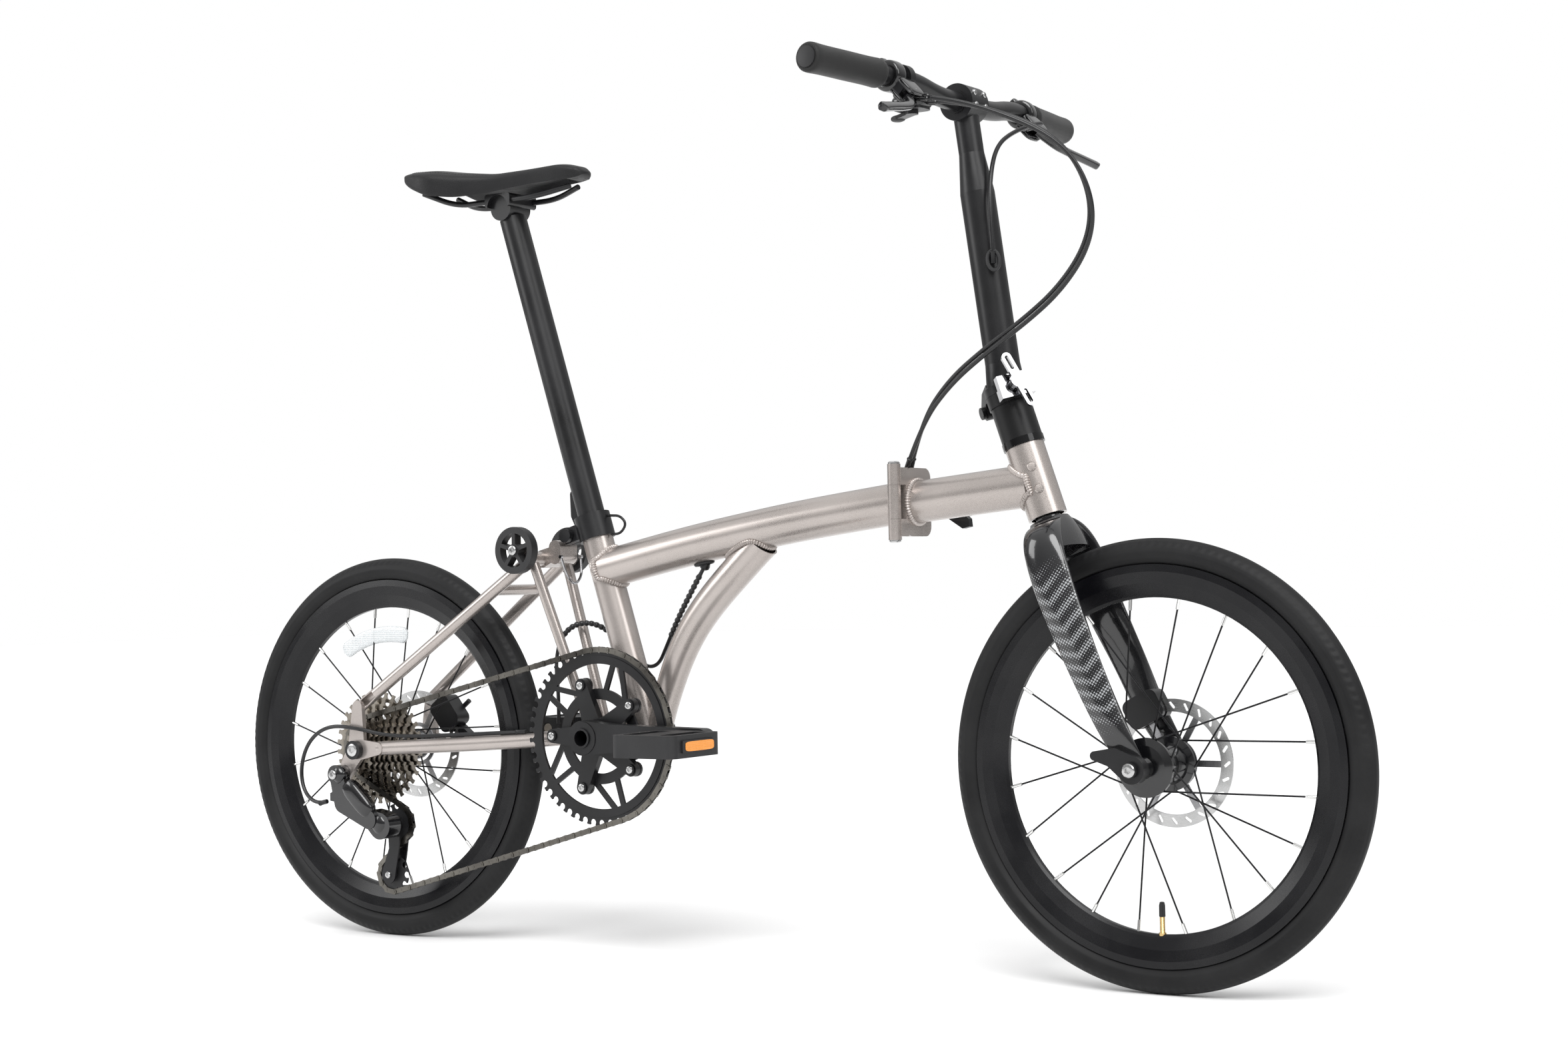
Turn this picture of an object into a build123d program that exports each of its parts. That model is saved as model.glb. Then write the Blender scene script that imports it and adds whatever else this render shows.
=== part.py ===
"""Folding bicycle with 20 inch wheels: one solid per piece, X forward, Y left, Z up, origin on the ground."""
import os
from math import acos, asin, atan2, cos, degrees, pi, radians, sin, sqrt

from build123d import *

# ---- driving dimensions, mm and degrees -------------------------------------------------
WHEELBASE = 1087.0
TYRE_R = 245.0
TYRE_W = 31.0
RIM_OUT, RIM_IN, RIM_W = 217.0, 181.0, 24.0
SPOKES = 20
ROTOR_R = 70.0
REAR_X, FRONT_X, AXLE_Z = -WHEELBASE / 2, WHEELBASE / 2, TYRE_R
DROPOUT = 67.5                     # rear dropout face from the middle plane
FORK_FACE = 50.0                   # fork end face from the middle plane

BB_X, BB_Z = -172.0, 267.0
CRANK = 170.0
CHAINRING_T, PITCH = 52, 12.7
CHAIN_Y = -46.5
SEAT_TILT, SEAT_X, SEAT_Z = 17.0, -203.5, 501.0
SEAT_OD, POST_D = 38.0, 33.9
HEAD_TILT, HEAD_X, HEAD_Z = 19.0, 403.5, 555.75
HEAD_OD, HEAD_LEN = 44.0, 83.0
MAIN_OD = 48.0
HINGE_X, HINGE_Y, HINGE_Z, HINGE_H = 242.0, -36.0, 538.0, 78.0
PIVOT_X, PIVOT_Z = -209.0, 270.0   # rear triangle pivot
STAY_R, SLIM_R = 9.0, 6.5
TOP_X, TOP_Z = -282.0, 484.0       # where seat stays and struts meet
POST_TILT, POST_LEN = 8.0, 333.0
POST_HINGE_S = 105.0               # hinge plane, along the steering axis from the head tube's middle
PIN_OFF, PIN_DROP = 36.0, 7.0
BAR_R, BAR_HALF = 11.1, 290.0
ROLLER_R = 29.0
WALL = 2.0

os.makedirs("parts", exist_ok=True)


def save(part, label):
    """Label a finished piece and write its STEP file; a list becomes one file of paired pieces."""
    if isinstance(part, (list, tuple)):
        part = Compound(children=[s for p in part for s in p.solids()])
    part.label = label
    export_step(part, f"parts/{label}.step")
    return part


# ---- reference planes --------------------------------------------------------------------
def side(y, x=0.0, z=0.0):
    """Plane facing -Y at the given Y: local x is forward, local y is up."""
    return Plane(origin=(x, y, z), x_dir=(1, 0, 0), z_dir=(0, -1, 0))


def leaning(x, z, tilt, s=0.0, fore=0.0, y=0.0):
    """Plane square to an axis that leans back by tilt, s along it, with local x forward and local y left."""
    t = radians(tilt)
    up, fwd = Vector(-sin(t), 0, cos(t)), Vector(cos(t), 0, sin(t))
    return Plane(origin=Vector(x, y, z) + up * s + fwd * fore, x_dir=fwd, z_dir=up)


def head(s=0.0, fore=0.0, y=0.0):
    return leaning(HEAD_X, HEAD_Z, HEAD_TILT, s, fore, y)


def seat(s=0.0, fore=0.0, y=0.0):
    return leaning(SEAT_X, SEAT_Z, SEAT_TILT, s, fore, y)


HINGE_C = head(POST_HINGE_S).origin


def post(s=0.0, fore=0.0, y=0.0):
    return leaning(HINGE_C.X, HINGE_C.Z, POST_TILT, s, fore, y)


# ---- repeated shapes ---------------------------------------------------------------------
def bends(points, share=0.45):
    """Bend radii as large as the two runs beside each corner allow."""
    pts = [Vector(*p) for p in points]
    out = []
    for a, b, c in zip(pts, pts[1:], pts[2:]):
        turn = radians((b - a).get_angle(c - b))
        out.append(share * min((b - a).length, (c - b).length) / max(sin(turn / 2) / cos(turn / 2), 0.02))
    return out


def rod(points, radius, bore=0.0):
    """Round bar or tube swept along straight runs joined by tangent arcs."""
    with BuildPart() as built:
        with BuildLine() as path:
            if len(points) == 2:
                Line(points[0], points[1])
            else:
                FilletPolyline(*points, radius=bends(points))
        with BuildSketch(Plane(origin=path.line @ 0, z_dir=path.line % 0)):
            Circle(radius)
            if bore:
                Circle(bore, mode=Mode.SUBTRACT)
        sweep(path=path.line)
    return built.part


def cylinder_y(x, z, y0, y1, r, bore=0.0):
    """Cylinder along Y between two Y values."""
    with BuildPart() as built:
        with BuildSketch(side(max(y0, y1))):
            with Locations((x, z)):
                Circle(r)
                if bore:
                    Circle(bore, mode=Mode.SUBTRACT)
        extrude(amount=abs(y1 - y0))
    return built.part


def hull_plate(circles, y0, y1):
    """Plate along Y whose outline wraps a chain of circles (x, z, r), pair by pair."""
    with BuildPart() as built:
        with BuildSketch(side(max(y0, y1))):
            for (x0, z0, r0), (x1, z1, r1) in zip(circles, circles[1:]):
                with BuildSketch(mode=Mode.PRIVATE) as web:
                    with Locations((x0, z0)):
                        Circle(r0)
                    with Locations((x1, z1)):
                        Circle(r1)
                    make_hull()
                add(web.sketch)
        extrude(amount=abs(y1 - y0))
    return built.part


def wheel_plane(x):
    """Plane through the wheel axis: local x is along the axle, local y is the radius."""
    return Plane(origin=(x, 0, AXLE_Z), x_dir=(0, 1, 0), z_dir=(1, 0, 0))


def turned(x, profile, z=AXLE_Z, hollow=None):
    """Solid turned about an axle along Y: profile is a list of (y, radius)."""
    with BuildPart() as built:
        with BuildSketch(Plane(origin=(x, 0, z), x_dir=(0, 1, 0), z_dir=(1, 0, 0))):
            Polygon(*profile, align=None)
            if hollow:
                Polygon(*hollow, align=None, mode=Mode.SUBTRACT)
        revolve(axis=Axis((x, 0, z), (0, 1, 0)))
    return built.part


def tyre(x, label):
    mid = TYRE_R - TYRE_W / 2
    with BuildPart() as built:
        with BuildSketch(wheel_plane(x)):
            with Locations((0, mid)):
                Circle(TYRE_W / 2)
                Circle(TYRE_W / 2 - 2.7, mode=Mode.SUBTRACT)
            with Locations((0, RIM_OUT - 20)):
                Rectangle(60, 40, mode=Mode.SUBTRACT)
        revolve(axis=Axis((x, 0, AXLE_Z), (0, 1, 0)))
    return save(built.part, label)


def rim(x, label):
    """Deep section rim, hollow, with the valve at its foot."""
    h = RIM_W / 2
    outer = [(-h + 1, RIM_OUT), (-h, RIM_OUT - 8), (-h + 1.5, RIM_OUT - 20), (-5, RIM_IN + 3), (-3, RIM_IN),
             (3, RIM_IN), (5, RIM_IN + 3), (h - 1.5, RIM_OUT - 20), (h, RIM_OUT - 8), (h - 1, RIM_OUT)]
    k = (h - WALL) / h
    inner = [(y * k, min(max(r, RIM_IN + WALL + 0.6), RIM_OUT - WALL - 0.6)) for y, r in outer[0:4]]
    inner += [(-y, r) for y, r in reversed(inner)]
    body = turned(x, outer, hollow=inner)
    with BuildPart() as built:
        add(body)
        with BuildSketch(Plane(origin=(x, 0, AXLE_Z), x_dir=(1, 0, 0), z_dir=(0, 0, -1)).offset(RIM_IN - 34)):
            Circle(2.6)
        extrude(amount=35.5)
    return save(built.part, label)


def spokes(x, label, flange_l, flange_r, r_l, r_r):
    """Crossed spokes, half to each flange, each with its nipple at the rim."""
    with BuildPart() as built:
        for i in range(SPOKES):
            left = i % 2 == 0
            yf, rf = (flange_l, r_l) if left else (flange_r, r_r)
            a_rim = 2 * pi * (i + 0.5) / SPOKES
            lead = radians(62 if (i // 2) % 2 == 0 else -62)
            a_hub = a_rim + lead * (1.0 if rf < 28 else 0.8)
            p0 = Vector(x + rf * cos(a_hub), yf, AXLE_Z + rf * sin(a_hub))
            reach = RIM_IN + 1.5
            p1 = Vector(x + reach * cos(a_rim), 0.6 if left else -0.6, AXLE_Z + reach * sin(a_rim))
            line = (p1 - p0).normalized()
            with BuildSketch(Plane(origin=p0, z_dir=line)):
                Circle(1.0)
            extrude(amount=(p1 - p0).length)
            with BuildSketch(Plane(origin=p1 - line * 13, z_dir=line)):
                Circle(1.9)
            extrude(amount=13)
    return save(built.part, label)


def rotor(x, y, label):
    """Brake rotor: slotted braking band on curved arms."""
    with BuildPart() as built:
        with BuildSketch(side(y + 0.9)):
            with Locations((x, AXLE_Z)):
                Circle(ROTOR_R)
                Circle(ROTOR_R - 14, mode=Mode.SUBTRACT)
                Circle(28)
                with PolarLocations(42, 6):
                    Rectangle(34, 7)
                Circle(23, mode=Mode.SUBTRACT)
                with PolarLocations(ROTOR_R - 7, 24):
                    SlotOverall(9, 3.2, rotation=40, mode=Mode.SUBTRACT)
        extrude(amount=1.8)
    return save(built.part, label)


def sprocket_face(teeth, bore):
    """Toothed plate outline about the sketch origin with roller gaps on the pitch circle."""
    pitch_r = PITCH / 2 / sin(pi / teeth)
    with BuildSketch(mode=Mode.PRIVATE) as face:
        Circle(pitch_r + 3.4)
        with PolarLocations(pitch_r, teeth):
            Circle(4.1, mode=Mode.SUBTRACT)
        with PolarLocations(pitch_r + 4.4, teeth):
            Circle(4.3, mode=Mode.SUBTRACT)
        if bore:
            Circle(bore, mode=Mode.SUBTRACT)
    return face.sketch


# ---- main frame ---------------------------------------------------------------------------
with BuildPart() as seat_tube:
    with BuildSketch(seat(-262)):
        Circle(SEAT_OD / 2)
        Circle(POST_D / 2 + 0.07, mode=Mode.SUBTRACT)
    extrude(amount=262 + 28)
    with BuildSketch(seat(-4, 0)):                       # compression slot under the clamp
        with Locations((-SEAT_OD / 2, 0)):
            Rectangle(8, 2.4)
    extrude(amount=40, mode=Mode.SUBTRACT)
save(seat_tube.part, "seat_tube")

with BuildPart() as seat_solid:
    with BuildSketch(seat(-262)):
        Circle(SEAT_OD / 2)
    extrude(amount=300)

HINGE_BACK = 9.0                                         # hinge plate thickness, each half
main_pts = [(-200, 0, 468), (-60, 0, 497), (90, 0, 521), (HINGE_X - HINGE_BACK, 0, HINGE_Z)]
with BuildPart() as main_tube:
    add(rod(main_pts, MAIN_OD / 2, MAIN_OD / 2 - WALL))
    with BuildSketch(Plane.YZ.offset(HINGE_X - HINGE_BACK)):
        with Locations((0, HINGE_Z)):
            Rectangle(120, 120)
    extrude(amount=30, mode=Mode.SUBTRACT)
    add(seat_solid.part, mode=Mode.SUBTRACT)
save(max(main_tube.part.solids(), key=lambda s: s.volume), "main_tube")

with BuildPart() as main_solid:
    add(rod(main_pts, MAIN_OD / 2))

arch_stations = [((38, 496), 50, 20.5), ((4, 466), 46, 20.0), ((-34, 430), 49, 19.5), ((-69, 387), 56, 18.5),
                 ((-93, 342), 64, 17.5), ((-109, 300), 72, 16.5), ((-119, 262), 76, 16.0)]


def arch(shrink):
    """Arched down tube, tapering towards the bottom bracket."""
    with BuildPart() as built:
        for (x, z), angle, r in arch_stations:
            a = radians(angle)
            with BuildSketch(Plane(origin=(x, 0, z), x_dir=(0, 1, 0), z_dir=(-cos(a), 0, -sin(a)))):
                Circle(r - shrink)
        loft()
    return built.part


with BuildPart() as arch_tube:
    add(arch(0))
    add(arch(WALL), mode=Mode.SUBTRACT)
    add(main_solid.part, mode=Mode.SUBTRACT)
    add(seat_solid.part, mode=Mode.SUBTRACT)
save(max(arch_tube.part.solids(), key=lambda s: s.volume), "arch_tube")

LUG_IN, LUG_T, LUG_R = 28.5, 5.0, 9.5
with BuildPart() as bb_shell:
    add(cylinder_y(BB_X, BB_Z, -34, 34, 20))
    for y0 in (LUG_IN, -LUG_IN - LUG_T):
        add(hull_plate([(BB_X, BB_Z, 12), (PIVOT_X, PIVOT_Z, LUG_R)], y0, y0 + LUG_T))
    add(cylinder_y(BB_X, BB_Z, -40, 40, 17.5))
    add(cylinder_y(BB_X, BB_Z, -41, 41, 12.05), mode=Mode.SUBTRACT)
    add(cylinder_y(PIVOT_X, PIVOT_Z, -40, 40, 5.0), mode=Mode.SUBTRACT)
    add(seat_solid.part, mode=Mode.SUBTRACT)
with BuildPart() as pivot_pin:
    add(cylinder_y(PIVOT_X, PIVOT_Z, -35, 35, 5.0))
    add(cylinder_y(PIVOT_X, PIVOT_Z, -37, -LUG_IN - LUG_T, 8.0))
    add(cylinder_y(PIVOT_X, PIVOT_Z, LUG_IN + LUG_T, 37, 8.0))
save([bb_shell.part, pivot_pin.part], "bb_shell")

# ---- main hinge ---------------------------------------------------------------------------
KNUCKLE_R, KNUCKLE_H = 7.5, 20.0


def hinge_plate(x0, x1, upper_lower):
    """One hinge half: plate across the tube with its knuckle or knuckles round the vertical pin."""
    z0, z1 = HINGE_Z - HINGE_H / 2, HINGE_Z + HINGE_H / 2
    spans = ([(z0, z0 + KNUCKLE_H - 0.3), (z1 - KNUCKLE_H + 0.3, z1)] if upper_lower
             else [(z0 + KNUCKLE_H, z1 - KNUCKLE_H)])
    with BuildPart() as built:
        with BuildSketch(Plane.YZ.offset(min(x0, x1))):
            with Locations((3, HINGE_Z)):
                RectangleRounded(56, HINGE_H, 12)
        extrude(amount=abs(x1 - x0))
        for a, b in spans:
            with BuildSketch(Plane.XY.offset(a)):
                with Locations((HINGE_X, HINGE_Y)):
                    Circle(KNUCKLE_R)
                with Locations(((x0 + x1) / 2, (HINGE_Y - 20) / 2)):
                    Rectangle(abs(x1 - x0), abs(HINGE_Y + 20))
            extrude(amount=b - a)
        others = [(z0 - 1, z0 + KNUCKLE_H), (z1 - KNUCKLE_H, z1 + 1)] if not upper_lower \
            else [(z0 + KNUCKLE_H - 0.3, z1 - KNUCKLE_H + 0.3)]
        for a, b in others:                              # room for the other half's knuckles
            with BuildSketch(Plane.XY.offset(a)):
                with Locations((HINGE_X, HINGE_Y)):
                    Circle(KNUCKLE_R + 0.6)
            extrude(amount=b - a, mode=Mode.SUBTRACT)
        with BuildSketch(Plane.XY.offset(z0 - 5)):
            with Locations((HINGE_X, HINGE_Y)):
                Circle(4.0)
        extrude(amount=HINGE_H + 10, mode=Mode.SUBTRACT)
    return built.part


hinge_rear = hinge_plate(HINGE_X - HINGE_BACK, HINGE_X - 0.15, False)
save(hinge_plate(HINGE_X + HINGE_BACK, HINGE_X + 0.15, True), "main_hinge_front")

with BuildPart() as hinge_pin:
    with BuildSketch(Plane.XY.offset(HINGE_Z - HINGE_H / 2)):
        with Locations((HINGE_X, HINGE_Y)):
            Circle(3.95)
    extrude(amount=HINGE_H)
    for z0 in (HINGE_Z - HINGE_H / 2 - 4, HINGE_Z + HINGE_H / 2):
        with BuildSketch(Plane.XY.offset(z0)):
            with Locations((HINGE_X, HINGE_Y)):
                Circle(7.5)
        extrude(amount=4)
save([hinge_rear, hinge_pin.part], "main_hinge_rear")

# ---- front frame --------------------------------------------------------------------------
with BuildPart() as head_solid:
    with BuildSketch(head(-HEAD_LEN / 2)):
        Circle(HEAD_OD / 2)
    extrude(amount=HEAD_LEN)

with BuildPart() as head_tube:
    with BuildSketch(head(-HEAD_LEN / 2)):
        Circle(HEAD_OD / 2)
        Circle(HEAD_OD / 2 - 3.2, mode=Mode.SUBTRACT)
    extrude(amount=HEAD_LEN)
save(head_tube.part, "head_tube")

with BuildPart() as front_tube:
    add(rod([(HINGE_X + HINGE_BACK, 0, HINGE_Z), (HEAD_X - 3, 0, 552)], MAIN_OD / 2, MAIN_OD / 2 - WALL))
    add(head_solid.part, mode=Mode.SUBTRACT)
    with BuildSketch(Plane.YZ.offset(HINGE_X + HINGE_BACK)):
        with Locations((0, HINGE_Z)):
            Rectangle(120, 120)
    extrude(amount=-30, mode=Mode.SUBTRACT)
save(max(front_tube.part.solids(), key=lambda s: s.volume), "front_tube")

with BuildPart() as hinge_lever:                         # over-centre lever on the hinge's left side
    with BuildSketch(Plane.XY.offset(HINGE_Z - 15)):
        with Locations((HINGE_X + 14, 42)):
            Circle(8)
    extrude(amount=30)
    with BuildSketch(side(46.5)):
        with BuildLine():
            Polyline((HINGE_X + 12, HINGE_Z + 9), (HINGE_X + 12, HINGE_Z - 9), (HINGE_X + 46, HINGE_Z - 31),
                     (HINGE_X + 55, HINGE_Z - 29), (HINGE_X + 54, HINGE_Z - 20), (HINGE_X + 26, HINGE_Z + 6),
                     close=True)
        make_face()
    extrude(amount=9)
save(hinge_lever.part, "main_hinge_lever")

# ---- fork, steerer collar, front axle -----------------------------------------------------
CROWN_S = -HEAD_LEN / 2 - 4.5


def blade(sign):
    """Tapering fork blade, from the crown to the fork end."""
    rows = [(-49, 1, 11, 10, 19), (-64, 2, 33, 15, 23), (-84, 3, 44, 10, 24), (-120, 4, 50, 8, 24),
            (-180, 8, 54, 7, 22), (-250, 15, 56.5, 6, 19), (-300, 22, 57, 5, 16.5),
            (-337, 29.5, 54.5, 4.2, 13.5)]
    with BuildPart() as built:
        for s, fore, y, half_y, half_x in rows:
            with BuildSketch(head(s, fore, sign * y)):
                Ellipse(half_x, half_y)
        loft()
    return built.part


with BuildPart() as fork:
    with BuildSketch(head(CROWN_S)):
        Circle(HEAD_OD / 2)
    with BuildSketch(head(CROWN_S - 18, 2)):
        Ellipse(24.5, 42)
    with BuildSketch(head(CROWN_S - 40, 3)):
        Ellipse(24, 53)
    loft()
    for sgn in (1, -1):
        add(blade(sgn))
    with BuildSketch(side(32)):                          # arched opening for the tyre
        with Locations((FRONT_X, AXLE_Z)):
            Circle(TYRE_R + 11)
    extrude(amount=64, mode=Mode.SUBTRACT)
    with BuildSketch(side(40)):
        with Locations((FRONT_X, AXLE_Z)):
            Circle(TYRE_R - 20)
    extrude(amount=80, mode=Mode.SUBTRACT)
    for sgn in (1, -1):                                  # fork ends
        add(cylinder_y(FRONT_X, AXLE_Z, sgn * FORK_FACE, sgn * (FORK_FACE + 7), 12.5))
    add(cylinder_y(FRONT_X, AXLE_Z, -80, 80, 6.0), mode=Mode.SUBTRACT)
    with BuildSketch(head(CROWN_S - 5)):                 # steerer through the head tube
        Circle(14.3)
    extrude(amount=HEAD_LEN + 30)
save(fork.part, "fork")

with BuildPart() as front_axle:                          # through axle with the fold catch block on its right
    add(cylinder_y(FRONT_X, AXLE_Z, -62, 62, 5.95))
    add(hull_plate([(FRONT_X, AXLE_Z, 15), (FRONT_X - 20, AXLE_Z + 12, 11)], -57.5, -70))
    add(hull_plate([(FRONT_X - 20, AXLE_Z + 12, 11), (FRONT_X - 44, AXLE_Z + 14, 5)], -60, -67))
    add(cylinder_y(FRONT_X, AXLE_Z, -70, -75, 8.5))
    add(cylinder_y(FRONT_X, AXLE_Z, 57.2, 64, 10))
    add(fork.part, mode=Mode.SUBTRACT)
save(max(front_axle.part.solids(), key=lambda s: s.volume), "front_axle")

COLLAR_R = 23.0
lug_dir = Vector(-sqrt(0.5), sqrt(0.5))
ear = (lug_dir.X * PIN_OFF, lug_dir.Y * PIN_OFF)


def pin_plane(offset):
    """Plane square to the handlepost hinge pin, whose axis runs fore-left in the head plane."""
    base = head(POST_HINGE_S - PIN_DROP)
    axis = (base.x_dir + base.y_dir).normalized()
    center = base.origin + base.x_dir * ear[0] + base.y_dir * ear[1] + axis * offset
    return Plane(origin=center, x_dir=base.z_dir, z_dir=axis)


def pin_rod(a, b, r):
    with BuildPart() as built:
        with BuildSketch(pin_plane(a)):
            Circle(r)
        extrude(amount=b - a)
    return built.part


with BuildPart() as steerer_collar:                      # lower half of the handlepost hinge
    with BuildSketch(head(HEAD_LEN / 2 + 0.3)):
        Circle(COLLAR_R + 0.8)
    extrude(amount=8)
    with BuildSketch(head(HEAD_LEN / 2 + 8.3)):
        Circle(COLLAR_R)
    extrude(amount=POST_HINGE_S - 14 - HEAD_LEN / 2 - 8.3)
    with BuildSketch(head(POST_HINGE_S - 14)):
        Circle(COLLAR_R + 1.5)
    extrude(amount=13.85)
    add(pin_rod(-8, 8, 9.0))
    with BuildSketch(head(POST_HINGE_S - 14)):
        with BuildLine():
            Polyline((ear[0] - 5.6, ear[1] - 5.6), (ear[0] + 5.6, ear[1] + 5.6), (5.6, 5.6), (-5.6, -5.6),
                     close=True)
        make_face()
    extrude(amount=13.85)
    for sgn in (1, -1):                                  # room for the upper ears
        add(pin_rod(min(sgn * 8.3, sgn * 20), max(sgn * 8.3, sgn * 20), 10.6), mode=Mode.SUBTRACT)
    add(pin_rod(-9, 9, 4.0), mode=Mode.SUBTRACT)
    with BuildSketch(head(HEAD_LEN / 2)):                # steerer bore
        Circle(14.4)
    extrude(amount=30, mode=Mode.SUBTRACT)
    block = head(POST_HINGE_S - 13.5)                    # clamp block on the front right
    toward = (block.x_dir - block.y_dir).normalized()
    with BuildSketch(Plane(origin=block.origin, x_dir=toward, z_dir=block.z_dir)):
        with Locations((COLLAR_R + 9.4, 0)):
            Rectangle(15, 40)
        Circle(COLLAR_R + 3.2, mode=Mode.SUBTRACT)
        with Locations((COLLAR_R + 0, 0)):
            Rectangle(8, 10)
    extrude(amount=12)
    with BuildSketch(Plane(origin=block.origin + block.z_dir * 12, x_dir=toward, z_dir=block.z_dir)):
        with Locations((COLLAR_R + 11.4, 0)):
            Rectangle(11, 40)
        Circle(COLLAR_R + 5.0, mode=Mode.SUBTRACT)
    extrude(amount=14)

with BuildPart() as post_hinge_pin:
    add(pin_rod(-20, 20, 3.95))
    add(pin_rod(-24, -20, 7.0))
    add(pin_rod(20, 23, 6.0))
save([steerer_collar.part, post_hinge_pin.part], "steerer_collar")

LEVER_ORG = head(POST_HINGE_S + 1).origin
LEVER_DIR = (head().x_dir - head().y_dir).normalized()
with BuildPart() as post_lever:                          # two-winged lever on the clamp screw
    hub = Plane(origin=LEVER_ORG + LEVER_DIR * (COLLAR_R + 17.4), x_dir=head().z_dir, z_dir=LEVER_DIR)
    with BuildSketch(hub):
        Circle(7)
    extrude(amount=12)
    with BuildSketch(hub.offset(7)):
        Circle(9)
        with Locations(Location((0, 0, 0), (0, 0, 12))):
            SlotOverall(66, 11)
            with Locations((21, 0), (-21, 0)):
                SlotOverall(17, 4.4, mode=Mode.SUBTRACT)
    extrude(amount=5)
save(post_lever.part, "post_lever")

# ---- handlepost, bar and controls ---------------------------------------------------------
BAR_C = post(POST_LEN).origin
with BuildPart() as handlepost:
    with BuildSketch(head(POST_HINGE_S + 0.15)):
        Circle(COLLAR_R + 1.5)
    extrude(amount=9)
    with BuildSketch(post(6)):
        Circle(22)
    with BuildSketch(post(34)):
        Circle(19.5)
    loft()
    with BuildSketch(post(34)):
        Circle(19.5)
    extrude(amount=196)
    with BuildSketch(post(230)):
        Circle(19.5)
    with BuildSketch(post(275)):
        Circle(14.3)
    loft()
    with BuildSketch(post(275)):
        Circle(14.3)
    extrude(amount=POST_LEN - 275)
    with BuildSketch(post(30)):                          # bore
        Circle(17)
    with BuildSketch(post(228)):
        Circle(17)
    with BuildSketch(post(275)):
        Circle(11.8)
    with BuildSketch(post(POST_LEN - 30)):
        Circle(11.8)
    loft(ruled=True, mode=Mode.SUBTRACT)
    for a, b in ((8.5, 19), (-19, -8.5)):                # two ears round the lower knuckle
        add(pin_rod(a, b, 9.0))
        with BuildSketch(pin_plane(a)):
            with BuildLine():
                Polyline((-3, -8.4), (8, -8.5), (20, 8), (24, 30), (PIN_DROP + 0.15, 30),
                         (PIN_DROP + 0.15, 10), (3, 8.4), close=True)
            make_face()
        extrude(amount=b - a)
    add(pin_rod(-20, 20, 4.0), mode=Mode.SUBTRACT)
    add(pin_rod(-8.3, 8.3, 10.4), mode=Mode.SUBTRACT)
    with BuildSketch(side(19, BAR_C.X, BAR_C.Z)):        # bar clamp head
        Circle(21)
    extrude(amount=38)
    with BuildSketch(side(30, BAR_C.X, BAR_C.Z)):
        Circle(BAR_R + 1.8)
    extrude(amount=60, mode=Mode.SUBTRACT)
save(handlepost.part, "handlepost")

bar_pts = [(BAR_C.X - 24, BAR_HALF, BAR_C.Z + 11), (BAR_C.X - 2, 112, BAR_C.Z + 9), (BAR_C.X, 62, BAR_C.Z),
           (BAR_C.X, -62, BAR_C.Z), (BAR_C.X - 2, -112, BAR_C.Z + 9), (BAR_C.X - 24, -BAR_HALF, BAR_C.Z + 11)]
with BuildPart() as handlebar:
    add(rod(bar_pts, BAR_R, BAR_R - 1.8))
    with BuildSketch(side(21, BAR_C.X, BAR_C.Z)):        # thick middle in the clamp
        Circle(BAR_R + 1.8)
        Circle(BAR_R - 0.5, mode=Mode.SUBTRACT)
    extrude(amount=42)
save(handlebar.part, "handlebar")


def on_bar(sign, along):
    """Plane square to the straight outer part of the bar, along mm from its tip, facing the tip."""
    tip, inner = Vector(*bar_pts[0]), Vector(*bar_pts[1])
    d = (tip - inner).normalized()
    o = tip - d * along
    return Plane(origin=(o.X, sign * o.Y, o.Z), x_dir=(0, 0, 1), z_dir=(d.X, sign * d.Y, d.Z))


def grip(sign):
    with BuildPart() as built:
        with BuildSketch(on_bar(sign, 118)):
            Circle(14)
        with BuildSketch(on_bar(sign, 95)):
            Circle(16)
        with BuildSketch(on_bar(sign, 30)):
            Circle(16)
        with BuildSketch(on_bar(sign, -3)):
            Circle(15.5)
        loft(ruled=True)
        with BuildSketch(on_bar(sign, 119)):
            Circle(BAR_R + 0.05)
        extrude(amount=119.05, mode=Mode.SUBTRACT)
    return built.part


save([grip(-1), grip(1)], "grips")


LEVER_DROP = radians(48)
AHEAD, OVER = Vector(cos(LEVER_DROP), 0, -sin(LEVER_DROP)), Vector(sin(LEVER_DROP), 0, cos(LEVER_DROP))


def lever_plane(sign):
    """Plane of a brake lever, centred on its pivot, square to the pivot axis."""
    o = on_bar(sign, 146).origin + AHEAD * 28.8 + Vector(0, sign * 2, 0)
    return Plane(origin=o, x_dir=AHEAD, z_dir=OVER)


def controls(sign, shifter):
    """Brake lever bracket clamped on the bar, with the shifter body on the right."""
    p = on_bar(sign, 146)
    with BuildPart() as built:
        with BuildSketch(p):
            Circle(16)
            Circle(BAR_R + 0.1, mode=Mode.SUBTRACT)
        extrude(amount=14)
        foot = p.origin + AHEAD * 12.6 + Vector(0, sign * 4, 0)
        with BuildSketch(Plane(origin=foot, x_dir=(0, 1, 0), z_dir=AHEAD)):
            with Locations((-sign * 4, 0)):
                RectangleRounded(30, 18, 5)
        extrude(amount=22)
        if shifter:
            pod = p.origin + Vector(3, 32, -17)
            with BuildSketch(Plane(origin=pod, x_dir=(1, 0, 0), z_dir=(0, 0, -1))):
                RectangleRounded(36, 30, 9)
            extrude(amount=15)
            with BuildSketch(on_bar(sign, 165)):
                Circle(15.5)
                Circle(BAR_R + 0.5, mode=Mode.SUBTRACT)
                with Locations((-16.5, 0)):
                    Rectangle(8, 14)
            extrude(amount=9)
        with BuildSketch(lever_plane(sign).offset(-4.9)):    # gap for the lever between two ears
            with Locations((0, 0)):
                Circle(12)
            with Locations((14, -sign * 3)):
                Rectangle(34, 40)
        extrude(amount=9.8, mode=Mode.SUBTRACT)
    return built.part


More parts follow.
